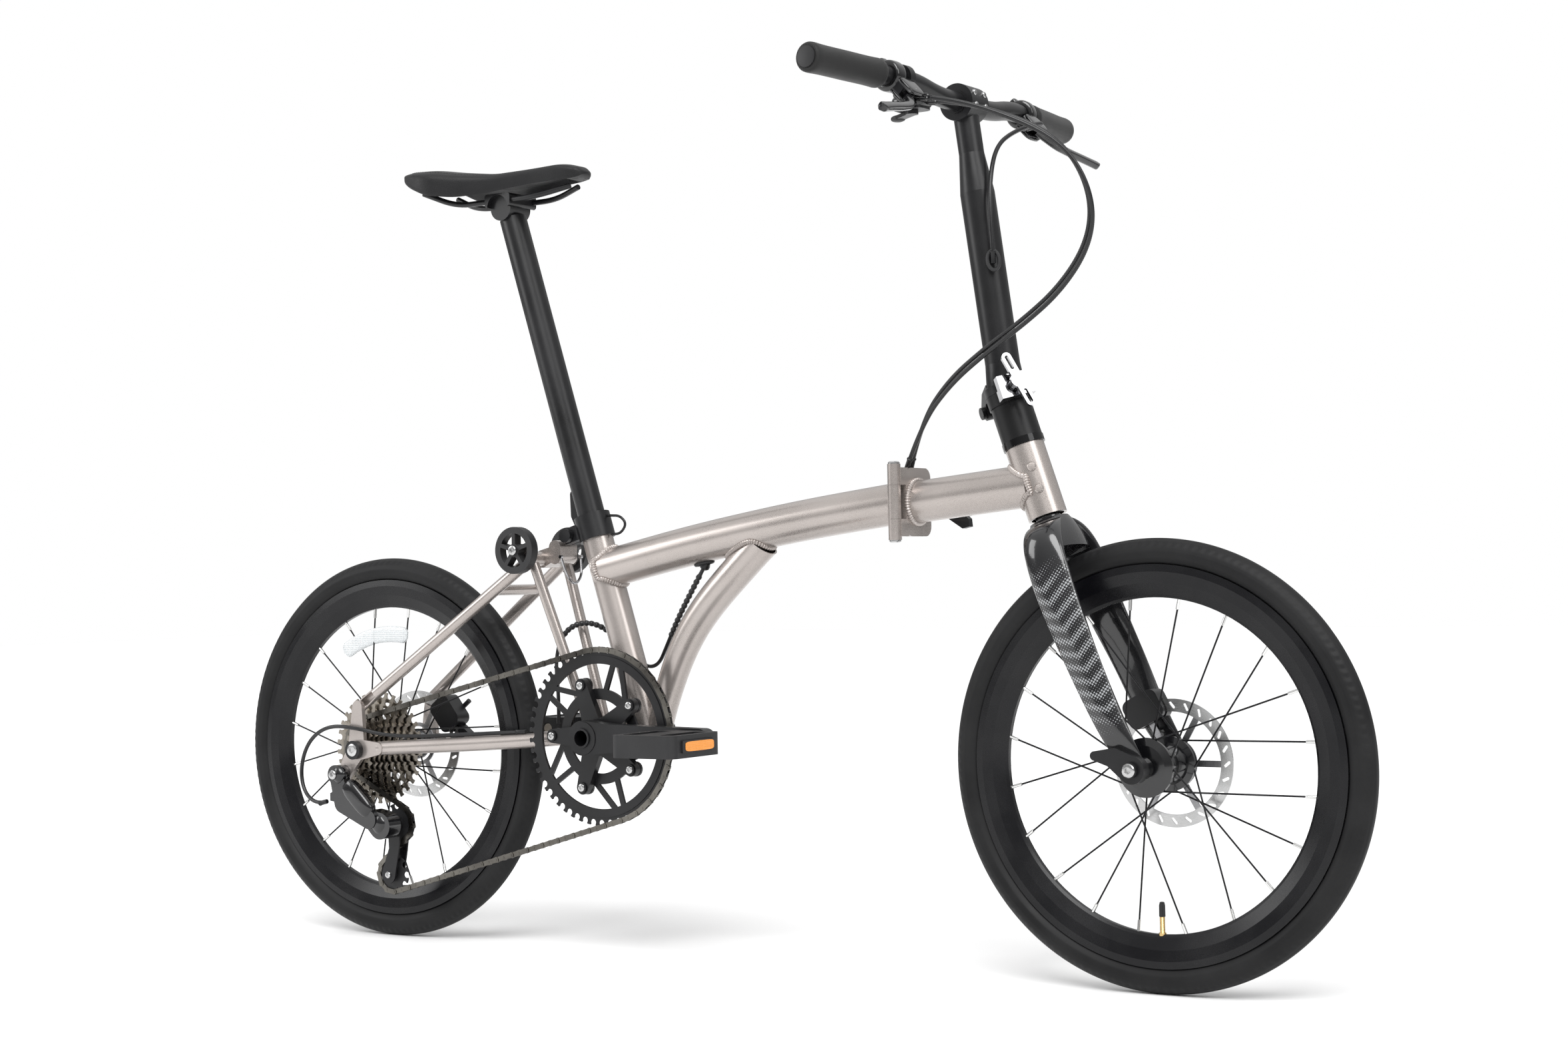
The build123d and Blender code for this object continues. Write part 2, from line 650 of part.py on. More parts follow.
def brake_lever(sign, label):
    """Two-finger brake blade that swings about a near vertical pivot in the bracket."""
    with BuildPart() as built:
        with BuildSketch(lever_plane(sign).offset(-4.5)):
            with BuildLine():
                FilletPolyline((-6, -sign * 7), (8, -sign * 6), (24, sign * 22), (22, sign * 70),
                               (28, sign * 96), (20, sign * 98), (13, sign * 72), (14, sign * 24),
                               (-6, sign * 8), radius=3.2, close=True)
            make_face()
            Circle(2.05, mode=Mode.SUBTRACT)
        extrude(amount=9)
    return save(built.part, label)


save([controls(-1, True), controls(1, False)], "bar_controls")
brake_lever(-1, "right_brake_lever")
brake_lever(1, "left_brake_lever")

with BuildPart() as shift_lever:
    o = on_bar(-1, 146).origin + Vector(3, 32, -32.4)
    with BuildSketch(Plane(origin=o, x_dir=(1, 0, 0), z_dir=(0, 0, -1))):
        Circle(7)
        with Locations(Location((0, 0, 0), (0, 0, 35))):
            with Locations((-19, 0)):
                SlotOverall(42, 11)
    extrude(amount=4)
save(shift_lever.part, "shift_lever")

# ---- wheels -------------------------------------------------------------------------------
def wheel(x, name, flange_l, flange_r, flange_rad_l, flange_rad_r, profile, rotor_y):
    tyre(x, f"{name}_tyre")
    rim(x, f"{name}_rim")
    turned_hub = turned(x, profile)
    with BuildPart() as hub:
        add(turned_hub)
        add(cylinder_y(x, AXLE_Z, -80, 80, 6.1), mode=Mode.SUBTRACT)
    save(hub.part, f"{name}_hub")
    spokes(x, f"{name}_spokes", flange_l, flange_r, flange_rad_l, flange_rad_r)
    rotor(x, rotor_y, f"{name}_rotor")


front_hub_profile = [(-49.4, 0), (-49.4, 11), (-40, 12), (-38, 24), (-35, 32), (-31, 32), (-28, 24),
                     (-10, 19), (10, 19), (24, 23), (26, 30), (30, 30), (32, 24), (36.9, 22), (36.9, 20),
                     (49.4, 12), (49.4, 0)]
wheel(FRONT_X, "front", 28, -33, 27, 29, front_hub_profile, 37.9)
rear_hub_profile = [(-26, 0), (-26, 15), (-25, 26), (-21, 26), (-18, 17), (0, 15), (20, 17), (22, 24),
                    (26, 24), (28, 20), (46.9, 20), (46.9, 16), (66.9, 11), (66.9, 0)]
wheel(REAR_X, "rear", 24, -23, 21, 23, rear_hub_profile, 47.9)

with BuildPart() as rear_axle:
    add(cylinder_y(REAR_X, AXLE_Z, -80, 80, 5.95))
    add(cylinder_y(REAR_X, AXLE_Z, -74, -81, 12))
    add(cylinder_y(REAR_X, AXLE_Z, 74, 81, 12))
save(rear_axle.part, "rear_axle")

# ---- cassette -----------------------------------------------------------------------------
COGS = [34, 30, 26, 23, 20, 17, 15, 13, 11]
COG_GAP = 4.34
with BuildPart() as cassette:
    for i, teeth in enumerate(COGS):
        y = CHAIN_Y + COG_GAP * (4 - i)
        with BuildSketch(side(y + 0.9, REAR_X, AXLE_Z)):
            add(sprocket_face(teeth, 0))
            if teeth > 22:
                with PolarLocations(PITCH * teeth / 2 / pi * 0.68, 6, start_angle=12):
                    Circle(PITCH * teeth / 2 / pi * 0.2, mode=Mode.SUBTRACT)
        extrude(amount=1.8)
    add(cylinder_y(REAR_X, AXLE_Z, -26.4, CHAIN_Y - COG_GAP * 4 - 2.2, 17.0))
    add(cylinder_y(REAR_X, AXLE_Z, -80, 0, 6.1), mode=Mode.SUBTRACT)
save(cassette.part, "cassette")

# ---- rear triangle ------------------------------------------------------------------------
def dropout(sign):
    """Rear dropout: plate round the axle with a tab up to the seat stay; the right one carries the hanger."""
    y0 = sign * DROPOUT
    y1 = sign * (DROPOUT + 6)
    pts = [(-508, 247, 8), (REAR_X, AXLE_Z, 14), (-541, 300, 8)]
    part = hull_plate(pts, y0, y1)
    with BuildPart() as built:
        add(part)
        if sign < 0:
            add(hull_plate([(REAR_X, AXLE_Z, 14), (-566, 214, 10)], y0, y1))
        add(cylinder_y(REAR_X, AXLE_Z, -90, 90, 6.0), mode=Mode.SUBTRACT)
    return built.part


def stay_points(sign):
    """Chainstay centre line, kept inside the chainring's swing when the rear triangle folds."""
    return [(-516, sign * 66.5, 247), (-350, sign * 34, 254.5), (-219, sign * 15, 264)]


for name, sgn in (("right", -1), ("left", 1)):
    with BuildPart() as chainstay:
        add(rod(stay_points(sgn), STAY_R, STAY_R - 1.6))
        add(cylinder_y(REAR_X, AXLE_Z, sgn * 52, sgn * DROPOUT, 40), mode=Mode.SUBTRACT)
        add(cylinder_y(REAR_X, AXLE_Z, sgn * DROPOUT, sgn * 90, 34), mode=Mode.SUBTRACT)
        add(cylinder_y(PIVOT_X, PIVOT_Z, -40, 40, 12.0), mode=Mode.SUBTRACT)
        add(dropout(sgn))
    save(max(chainstay.part.solids(), key=lambda s: s.volume), f"{name}_chainstay")

def slim(sgn, grow=0.0):
    """Seat stay and strut of one side as solid bars."""
    return [rod([(TOP_X, sgn * 37, TOP_Z), (-541, sgn * 66, 300)], 7.5 + grow),
            rod([(TOP_X, sgn * 34, TOP_Z), (PIVOT_X - 2, sgn * 17, PIVOT_Z + 8)], SLIM_R + grow)]


with BuildPart() as top_cross:                           # tube across the top, rollers at its ends
    add(cylinder_y(TOP_X, TOP_Z, -46, 46, 9))
    add(hull_plate([(TOP_X, TOP_Z, 8), (-290, 495, 8)], 40, 46))
    add(hull_plate([(TOP_X, TOP_Z, 8), (-290, 495, 8)], -40, -46))
    add(cylinder_y(-290, 495, -40, -63, 3.95))
    add(cylinder_y(-290, 495, 40, 63, 3.95))

for name, sgn in (("right", -1), ("left", 1)):
    with BuildPart() as seatstay:
        add(rod([(TOP_X, sgn * 37, TOP_Z), (-541, sgn * 66, 300)], 7.5, 6.0))
        add(rod([(TOP_X, sgn * 34, TOP_Z), (PIVOT_X - 2, sgn * 17, PIVOT_Z + 8)], SLIM_R, SLIM_R - 1.6))
        add(cylinder_y(TOP_X, TOP_Z, -60, 60, 9.0), mode=Mode.SUBTRACT)
        add(cylinder_y(PIVOT_X, PIVOT_Z, -60, 60, 12.0), mode=Mode.SUBTRACT)
        add(cylinder_y(-541, 300, sgn * DROPOUT, sgn * 90, 30), mode=Mode.SUBTRACT)
        add(hull_plate([(TOP_X, TOP_Z, 8), (-290, 495, 8)], sgn * 40, sgn * 46), mode=Mode.SUBTRACT)
    save([s for s in seatstay.part.solids() if s.volume > 500], f"{name}_seatstay")

with BuildPart() as yoke:                                # pivot barrel and bridges of the rear triangle
    add(cylinder_y(PIVOT_X, PIVOT_Z, -28.2, 28.2, 12.0))
    add(cylinder_y(PIVOT_X, PIVOT_Z, -30, 30, 5.06), mode=Mode.SUBTRACT)

with BuildPart() as brace:
    add(cylinder_y(-336, 446, -42, 42, 6.5))
    for bar in slim(1) + slim(-1):
        add(bar, mode=Mode.SUBTRACT)
brace_part = max(brace.part.solids(), key=lambda s: s.volume)


# ---- drivetrain ---------------------------------------------------------------------------
GUIDE = (-497.0, 150.0)
TENSION = (-508.0, 85.0)
COG_R = PITCH / 2 / sin(pi / 20)
RING_R = PITCH / 2 / sin(pi / CHAINRING_T)
PULLEY_R = PITCH / 2 / sin(pi / 11)
CHAIN_LOOP = [(BB_X, BB_Z, RING_R, 1), (REAR_X, AXLE_Z, COG_R, 1), (*GUIDE, PULLEY_R, -1),
              (*TENSION, PULLEY_R, 1)]


def tangents(loop):
    """Straight runs of a belt round the wheels: for each pair, its leaving and arriving points."""
    runs = []
    for (x0, z0, r0, s0), (x1, z1, r1, s1) in zip(loop, loop[1:] + loop[:1]):
        d = sqrt((x1 - x0) ** 2 + (z1 - z0) ** 2)
        t = atan2(z1 - z0, x1 - x0) + asin((s0 * r0 - s1 * r1) / d)
        n = (sin(t), -cos(t))
        runs.append(((x0 + s0 * r0 * n[0], z0 + s0 * r0 * n[1]),
                     (x1 + s1 * r1 * n[0], z1 + s1 * r1 * n[1])))
    return runs


RUNS = tangents(CHAIN_LOOP)


def chain_outline(offset_by):
    """Closed outline of the chain's path, moved outwards by the given amount."""
    loop = [(x, z, r + s * offset_by, s) for x, z, r, s in CHAIN_LOOP]
    runs = tangents(loop)
    with BuildSketch(mode=Mode.PRIVATE) as face:
        with BuildLine():
            for i, (a, b) in enumerate(runs):
                Line(a, b)
                x, z, r, s = loop[(i + 1) % len(loop)]
                c = runs[(i + 1) % len(runs)][0]
                a0, a1 = atan2(b[1] - z, b[0] - x), atan2(c[1] - z, c[0] - x)
                sweep_a = (a1 - a0) % (2 * pi) if s > 0 else -((a0 - a1) % (2 * pi))
                m = a0 + sweep_a / 2
                ThreePointArc(b, (x + r * cos(m), z + r * sin(m)), c)
        make_face()
    return face.sketch


with BuildPart() as chain:
    for y in (CHAIN_Y + 3.1, CHAIN_Y - 2.0):
        with BuildSketch(side(y)):
            add(chain_outline(3.8))
            add(chain_outline(-3.8), mode=Mode.SUBTRACT)
        extrude(amount=1.1)
    for (a, b), lead, trail in ((RUNS[0], 38.0, 25.0), (RUNS[3], 20.0, 38.0), (RUNS[1], 25.0, 20.0),
                                (RUNS[2], 20.0, 20.0)):
        va, vb = Vector(*a), Vector(*b)
        d = (vb - va).normalized()
        n = int(((vb - va).length - lead - trail) / PITCH)
        with BuildSketch(side(CHAIN_Y + 2.2)):
            for k in range(n + 1):
                p = va + d * (lead + k * PITCH)
                with Locations((p.X, p.Y)):
                    Circle(2.6)
        extrude(amount=4.4)
save(chain.part, "chain")

with BuildPart() as chainring:
    with BuildSketch(side(CHAIN_Y + 0.9, BB_X, BB_Z)):
        add(sprocket_face(CHAINRING_T, 88))
    extrude(amount=1.8)
    with BuildSketch(side(CHAIN_Y + 1.5, BB_X, BB_Z)):
        Circle(98)
        Circle(88, mode=Mode.SUBTRACT)
        Circle(58)
        Circle(45, mode=Mode.SUBTRACT)
        with PolarLocations(65, 5, start_angle=36):
            Circle(9)
        for i in range(10):                              # slanting webs between the two rings
            a = 2 * pi * i / 10 + radians(8)
            b = a + radians(24 if i % 2 else -4)
            with BuildSketch(mode=Mode.PRIVATE) as web:
                with Locations((55 * cos(a), 55 * sin(a)), (90 * cos(b), 90 * sin(b))):
                    Circle(3.2)
                make_hull()
            add(web.sketch)
        with PolarLocations(65, 5, start_angle=36):
            Circle(5.1, mode=Mode.SUBTRACT)
    extrude(amount=3.6)
save(chainring.part, "chainring")

with BuildPart() as right_crank:
    with BuildSketch(side(CHAIN_Y - 2.3, BB_X, BB_Z)):
        Circle(24)
        for i in range(5):
            a = radians(36 + 72 * i)
            with BuildSketch(mode=Mode.PRIVATE) as arm:
                with Locations((0, 0)):
                    Circle(15)
                with Locations((65 * cos(a), 65 * sin(a))):
                    Circle(8.5)
                make_hull()
            add(arm.sketch)
    extrude(amount=9)
    for i in range(5):                                   # chainring bolts
        a = radians(36 + 72 * i)
        x, z = BB_X + 65 * cos(a), BB_Z + 65 * sin(a)
        add(cylinder_y(x, z, CHAIN_Y + 3.5, CHAIN_Y - 13.5, 5.0))
        add(cylinder_y(x, z, CHAIN_Y - 11, CHAIN_Y - 13.5, 6.5))
    add(hull_plate([(BB_X, BB_Z, 21), (BB_X + 40, BB_Z, 17), (BB_X + CRANK, BB_Z, 14)], -66, -83))
    add(cylinder_y(BB_X, BB_Z, CHAIN_Y - 2.3, -84, 20))
    add(cylinder_y(BB_X, BB_Z, -90, -40, 12.0), mode=Mode.SUBTRACT)
    add(cylinder_y(BB_X + CRANK, BB_Z, -60, -90, 6.95), mode=Mode.SUBTRACT)
save(right_crank.part, "right_crank")

with BuildPart() as left_crank:
    add(hull_plate([(BB_X, BB_Z, 20), (BB_X - 40, BB_Z, 17), (BB_X - CRANK, BB_Z, 14)], 66, 83))
    add(cylinder_y(BB_X, BB_Z, 43, 83, 19))
    add(cylinder_y(BB_X - CRANK, BB_Z, 60, 90, 6.95), mode=Mode.SUBTRACT)
    add(cylinder_y(BB_X, BB_Z, 30, 90, 12.0), mode=Mode.SUBTRACT)

with BuildPart() as spindle:
    add(cylinder_y(BB_X, BB_Z, -86, 84, 12.0, 9.5))
save([left_crank.part, spindle.part], "left_crank")


def pedal(x, sign, label):
    """Platform pedal: cage with two open windows round a central barrel, reflectors front and back."""
    y0, y1 = sign * 100, sign * 196
    with BuildPart() as built:
        with BuildSketch(Plane(origin=(x, (y0 + y1) / 2, BB_Z), x_dir=(1, 0, 0), z_dir=(0, 0, 1))):
            RectangleRounded(88, 96, 10)
            with Locations((26, 0), (-26, 0)):
                RectangleRounded(20, 72, 5, mode=Mode.SUBTRACT)
        extrude(amount=13, both=True)
        add(cylinder_y(x, BB_Z, sign * 96, y1, 12.5))
        add(cylinder_y(x, BB_Z, sign * 80, sign * 190, 6.5), mode=Mode.SUBTRACT)
        with BuildSketch(Plane.YZ.offset(x + 43)):
            with Locations(((y0 + y1) / 2, BB_Z)):
                Rectangle(62, 14)
        extrude(amount=3)
        with BuildSketch(Plane.YZ.offset(x - 43)):
            with Locations(((y0 + y1) / 2, BB_Z)):
                Rectangle(62, 14)
        extrude(amount=-3)
    save(built.part, label)
    with BuildPart() as axle:
        add(cylinder_y(x, BB_Z, sign * 67, sign * 188, 6.4))
        add(cylinder_y(x, BB_Z, sign * 83, sign * 94, 8.5))
    return axle.part


save([pedal(BB_X + CRANK, -1, "right_pedal"), pedal(BB_X - CRANK, 1, "left_pedal")], "pedal_axles")

with BuildPart() as derailleur:                          # knuckles and link body
    add(cylinder_y(-566, 214, -74, -90, 12))
    add(cylinder_y(-566, 214, -90, -93, 6.5))
    add(hull_plate([(-566, 214, 11), (-556, 178, 13), (-512, 158, 12)], -76, -88))
    add(hull_plate([(-512, 158, 12), (*GUIDE, 17)], -62, -84))
    add(cylinder_y(*GUIDE, -58, -62, 13))
    add(cylinder_y(-572, 186, -78, -86, 6))
    with BuildSketch(side(-78)):
        with BuildLine():
            Polyline((-578, 190), (-552, 190), (-552, 176), (-578, 180), close=True)
        make_face()
    extrude(amount=8)
save(derailleur.part, "derailleur")

with BuildPart() as cage:
    for y0, y1 in ((-53.5, -55.7), (-37.3, -39.5)):
        add(hull_plate([(*GUIDE, 11), ((GUIDE[0] + TENSION[0]) / 2 + 4, (GUIDE[1] + TENSION[1]) / 2, 8),
                        (*TENSION, 11)], y0, y1))
    add(cylinder_y(*GUIDE, -55.7, -57.7, 12))
    for x, z in (GUIDE, TENSION):
        add(cylinder_y(x, z, -36.5, -56.5, 3.0))
save(cage.part, "derailleur_cage")

for label, (x, z) in (("guide_pulley", GUIDE), ("tension_pulley", TENSION)):
    with BuildPart() as pulley:
        with BuildSketch(side(CHAIN_Y + 0.9, x, z)):
            add(sprocket_face(11, 3.1))
        extrude(amount=1.8)
        add(cylinder_y(x, z, CHAIN_Y + 5, CHAIN_Y - 5, 6.5, 3.1))
    save(pulley.part, label)

# ---- seat clamp, seatpost, saddle, rollers -------------------------------------------------
with BuildPart() as seat_clamp:
    with BuildSketch(seat(6)):
        Circle(22.5)
    extrude(amount=31)
    with BuildSketch(seat(12)):
        with Locations((-30, 0)):
            RectangleRounded(24, 26, 4)
    extrude(amount=19)
    with BuildSketch(seat(5)):
        Circle(SEAT_OD / 2 + 0.0)
    extrude(amount=23, mode=Mode.SUBTRACT)
    with BuildSketch(seat(28)):
        Circle(POST_D / 2 + 0.07)
    extrude(amount=20, mode=Mode.SUBTRACT)
    with BuildSketch(seat(0)):
        with Locations((-40, 0)):
            Rectangle(50, 2.4)
    extrude(amount=45, mode=Mode.SUBTRACT)
    bolt = seat(21.5, -33).origin
    add(cylinder_y(bolt.X, bolt.Z, -30, 30, 3.55), mode=Mode.SUBTRACT)
with BuildPart() as loop:                                # wire loop standing out at the front
    add(rod([(-194, 0, 536), (-171, 0, 535), (-161, 0, 525), (-170, 0, 513), (-190, 0, 512)], 1.6))
    add(seat_clamp.part, mode=Mode.SUBTRACT)
    with BuildSketch(seat(-20)):
        Circle(22.0)
    extrude(amount=80, mode=Mode.SUBTRACT)
save([seat_clamp.part, loop.part], "seat_clamp")

with BuildPart() as clamp_lever:                         # quick release: bolt, nut and lever on the left
    add(cylinder_y(bolt.X, bolt.Z, -19, 16, 3.5))
    add(cylinder_y(bolt.X, bolt.Z, -13.1, -21, 8.5))
    add(cylinder_y(bolt.X, bolt.Z, 13.1, 25, 8.0))
    add(hull_plate([(bolt.X, bolt.Z, 7), (bolt.X - 14, bolt.Z + 26, 6), (bolt.X - 16, bolt.Z + 52, 5)], 19, 25))
save(clamp_lever.part, "seat_clamp_lever")

with BuildPart() as latch:                               # rubber-faced stop block on the top bridge
    add(hull_plate([(TOP_X + 22, TOP_Z + 14, 9), (TOP_X + 22, TOP_Z + 2, 9)], -17, 17))
    add(hull_plate([(TOP_X, TOP_Z, 11), (TOP_X + 16, TOP_Z + 6, 9)], -15, 15))
    add(cylinder_y(TOP_X, TOP_Z, -30, 30, 9.0), mode=Mode.SUBTRACT)
save([top_cross.part, yoke.part, brace_part, latch.part], "rear_cross_members")

bail_x, bail_z = -250.0, 486.0
with BuildPart() as bail:                                # silver wire bail hanging at the latch
    add(rod([(bail_x + 2, -20, bail_z), (bail_x + 7, -15, bail_z - 24), (bail_x + 8, 0, bail_z - 36),
             (bail_x + 7, 15, bail_z - 24), (bail_x + 2, 20, bail_z)], 1.6))
    add(cylinder_y(bail_x + 2, bail_z, -22, -18.0, 2.2))
    add(cylinder_y(bail_x + 2, bail_z, 18.0, 22, 2.2))
save(bail.part, "latch_bail")

with BuildPart() as seatpost:
    with BuildSketch(seat(-150)):
        Circle(POST_D / 2)
        Circle(POST_D / 2 - 2.2, mode=Mode.SUBTRACT)
    extrude(amount=150 + 432)
    with BuildSketch(seat(425)):
        Circle(POST_D / 2)
    extrude(amount=8)
    top = seat(446).origin
    add(cylinder_y(top.X, top.Z, -20, 20, 16))

SADDLE_X, SADDLE_Z = top.X - 10, top.Z - 3
with BuildPart() as rails:                               # two steel rails, joined at the nose
    for sgn in (1, -1):
        add(rod([(SADDLE_X + 112, sgn * 8, SADDLE_Z + 22.5), (SADDLE_X + 66, sgn * 21, SADDLE_Z + 12),
                 (SADDLE_X - 60, sgn * 22, SADDLE_Z + 11.5), (SADDLE_X - 104, sgn * 34, SADDLE_Z + 30)], 3.5))
    with BuildSketch(side(27, top.X, SADDLE_Z + 12)):
        RectangleRounded(40, 17, 4)
    extrude(amount=54)
    add(cylinder_y(top.X, top.Z, -50, 50, 16.0), mode=Mode.SUBTRACT)
save([seatpost.part, rails.part], "seatpost")

saddle_rows = [(-138, 50, 40, 58), (-118, 66, 22, 64), (-85, 70, 13, 65), (-45, 57, 15, 58), (0, 38, 22, 52),
               (50, 26, 28, 52), (100, 21, 29, 54), (134, 13, 26, 42)]


def saddle_shape(rows, side_in, low, high):
    """Loft of rounded sections, drawn in at the sides and moved at its lower and upper faces."""
    with BuildPart() as built:
        for x, half, z0, z1 in rows:
            w, a, b = half - side_in, z0 + low, z1 + high
            with BuildSketch(Plane.YZ.offset(SADDLE_X + x)):
                with Locations((0, SADDLE_Z + (a + b) / 2)):
                    RectangleRounded(2 * w, b - a, min(w, (b - a) / 2) * 0.8)
        loft()
    return built.part


with BuildPart() as saddle:                              # padded shell with hanging skirts
    add(saddle_shape(saddle_rows, 0, 0, 0))
    add(saddle_shape(saddle_rows[1:6], 9, -16, -13), mode=Mode.SUBTRACT)
save(saddle.part, "saddle")

rollers = []
for sgn in (-1, 1):
    with BuildPart() as roller:
        with BuildSketch(side(-49 if sgn < 0 else 61, -290, 495)):
            Circle(ROLLER_R)
            Circle(ROLLER_R - 8, mode=Mode.SUBTRACT)
            with PolarLocations((ROLLER_R - 7 + 8) / 2, 5, start_angle=18):
                Rectangle(ROLLER_R - 10, 5)
            Circle(8)
            Circle(4.05, mode=Mode.SUBTRACT)
        extrude(amount=12)
    rollers.append(roller.part)
save(rollers, "rollers")

# ---- brake calipers -----------------------------------------------------------------------
def caliper(x, y, z, angle, foot):
    """Disc caliper: two half bodies either side of the rotor with a bridge over its edge, and its mount."""
    a = radians(angle)
    cx, cz = x + 66 * cos(a), z + 66 * sin(a)
    with BuildPart() as built:
        with BuildSketch(Plane(origin=(cx, y + 15, cz), x_dir=(cos(a), 0, sin(a)), z_dir=(0, -1, 0))):
            RectangleRounded(34, 44, 9)
        extrude(amount=23.5)
        with BuildSketch(Plane(origin=(x, y + 2.6, z), x_dir=(1, 0, 0), z_dir=(0, -1, 0))):
            Circle(ROTOR_R + 3)
        extrude(amount=5.2, mode=Mode.SUBTRACT)
        add(hull_plate(foot, y + 3, y + 15))
        add(cylinder_y(cx, cz, y + 15, y + 22, 11))
        add(rod([(cx + k * cos(a), y + 19, cz + k * sin(a)) for k in (8, 26)], 3.2))
    return built.part


rear_cal = caliper(REAR_X, 47, AXLE_Z, 38, [(REAR_X + 60, AXLE_Z + 24, 7), (REAR_X + 78, AXLE_Z + 12, 6)])
with BuildPart() as rear_caliper:
    add(rear_cal)
    add(rod(stay_points(1), STAY_R), mode=Mode.SUBTRACT)
    add(rod([(TOP_X, 37, TOP_Z), (-541, 66, 300)], 7.5), mode=Mode.SUBTRACT)
save(max(rear_caliper.part.solids(), key=lambda s: s.volume), "rear_caliper")

front_cal = caliper(FRONT_X, 37, AXLE_Z, 118, [(FRONT_X - 30, AXLE_Z + 56, 8), (FRONT_X - 22, AXLE_Z + 40, 6)])
with BuildPart() as front_caliper:
    add(front_cal)
    add(fork.part, mode=Mode.SUBTRACT)
save(max(front_caliper.part.solids(), key=lambda s: s.volume), "front_caliper")

# ---- cables, each whole along its real route ------------------------------------------------
CABLE_R = 2.5


def cable(points, r=CABLE_R):
    """Cable as straight runs joined by large arcs."""
    built = rod(points, r)
    return built


front_brake = [(338, 125.5, 974), (366, 114, 974), (368, 84, 969), (357, 50, 956), (353, 20, 938),
               (358, -6, 905), (364, -22, 858), (366.5, -20, 802)]
save(cable(front_brake), "front_brake_cable")

bundle = [(340, -125.5, 973), (382, -121, 966), (453, -102, 936), (492, -90, 908), (512, -80, 872), (516, -70, 833),
          (501, -62, 795), (466, -56, 757), (422, -52, 727), (373, -50, 699), (323, -46, 666), (280, -36, 625),
          (247, -14, 578.4)]
second = [(343, -112, 970), (374, -110, 967)] + [(x - 5, y + 4, z + 5) for x, y, z in bundle[2:-2]]
second += [(274, -26, 628), (247, -5, 578.4)]
save([cable(bundle), cable(second)], "main_cables")

rear_run = [(-45, 0, 471.5), (-58, 0, 452), (-84, 0, 412), (-106, 4, 376), (-128, 16, 350), (-158, 27, 348),
            (-190, 27, 378), (-220, 16, 403), (-250, 8, 403), (-272, 6, 384), (-283, 10, 352), (-285, 18, 314),
            (-292, 26, 276)]
save(cable(rear_run, 3.0), "rear_cable")

shift_run = [(-304, -28.6, 269.4), (-352, -34.8, 266.8), (-404, -45.0, 264.8), (-456, -55.6, 262.4),
             (-500, -67.0, 264), (-540, -80, 274), (-584, -82, 276), (-624, -75, 256), (-642, -72, 222),
             (-634, -76, 190), (-607, -81, 174), (-589, -82.5, 178)]
save(cable(shift_run), "shift_cable")
for name, run in (("front brake", front_brake), ("bundle", bundle), ("second", second), ("rear", rear_run),
                  ("shift", shift_run)):
    print(name, "radii", [round(v) for v in bends(run)])
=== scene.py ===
"""Looks of the folding bicycle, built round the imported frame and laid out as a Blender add-on."""

import math

import bmesh
import bpy
import numpy as np
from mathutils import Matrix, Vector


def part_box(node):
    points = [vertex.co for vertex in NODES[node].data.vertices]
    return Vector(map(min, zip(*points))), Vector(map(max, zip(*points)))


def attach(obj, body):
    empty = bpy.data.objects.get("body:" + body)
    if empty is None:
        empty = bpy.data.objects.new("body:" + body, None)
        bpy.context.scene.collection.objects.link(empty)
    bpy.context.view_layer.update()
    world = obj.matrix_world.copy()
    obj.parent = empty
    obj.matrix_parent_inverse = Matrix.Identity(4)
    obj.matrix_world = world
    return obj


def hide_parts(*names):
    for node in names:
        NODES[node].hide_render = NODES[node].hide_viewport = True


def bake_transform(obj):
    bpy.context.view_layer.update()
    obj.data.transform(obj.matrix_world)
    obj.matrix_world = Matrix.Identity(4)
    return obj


bl_info = {
    "name": "Folding bicycle looks",
    "version": (1, 0, 0),
    "blender": (4, 5, 0),
    "location": "View3D > Sidebar > Folding bicycle",
    "description": "Tyres, chain, saddle, grips, cables, weld beads and finishes of a folding bicycle",
    "category": "Object",
}

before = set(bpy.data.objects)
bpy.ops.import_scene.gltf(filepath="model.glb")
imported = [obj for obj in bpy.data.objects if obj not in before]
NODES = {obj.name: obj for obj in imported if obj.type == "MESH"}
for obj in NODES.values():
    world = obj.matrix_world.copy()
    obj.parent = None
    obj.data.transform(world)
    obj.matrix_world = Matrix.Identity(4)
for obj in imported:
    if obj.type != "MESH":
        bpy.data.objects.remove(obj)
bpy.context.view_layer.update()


# ---- places worked out from the frame ----------------------------------------------------------
def middle(node):
    lo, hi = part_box(node)
    return np.array((lo + hi) / 2)


def mm(*xyz):
    return np.array(xyz, float) / 1000


def unit(v):
    v = np.asarray(v, float)
    return v / np.linalg.norm(v)


FRONT, REAR = middle("front_tyre"), middle("rear_tyre")
CRANK_AXIS = mm(-172, 0, 267)
UP = {tilt: np.array([-math.sin(math.radians(tilt)), 0, math.cos(math.radians(tilt))]) for tilt in (8, 17, 19)}
FWD = {tilt: np.array([math.cos(math.radians(tilt)), 0, math.sin(math.radians(tilt))]) for tilt in (8, 17, 19)}
Y = np.array([0.0, 1.0, 0.0])
LEVER_DROP = math.radians(48)
AHEAD = np.array([math.cos(LEVER_DROP), 0, -math.sin(LEVER_DROP)])
OVER = np.array([math.sin(LEVER_DROP), 0, math.cos(LEVER_DROP)])


def head(s, fore=0.0, y=0.0):
    """Point s mm up the steering axis, fore mm ahead of it and y mm to its left."""
    return mm(403.5, y, 555.75) + (UP[19] * s + FWD[19] * fore) / 1000


def seat(s, fore=0.0, y=0.0):
    return mm(-203.5, y, 501) + (UP[17] * s + FWD[17] * fore) / 1000


def post(s, fore=0.0, y=0.0):
    return head(105) * [1, 0, 1] + Y * y / 1000 + (UP[8] * s + FWD[8] * fore) / 1000


BAR = post(333)


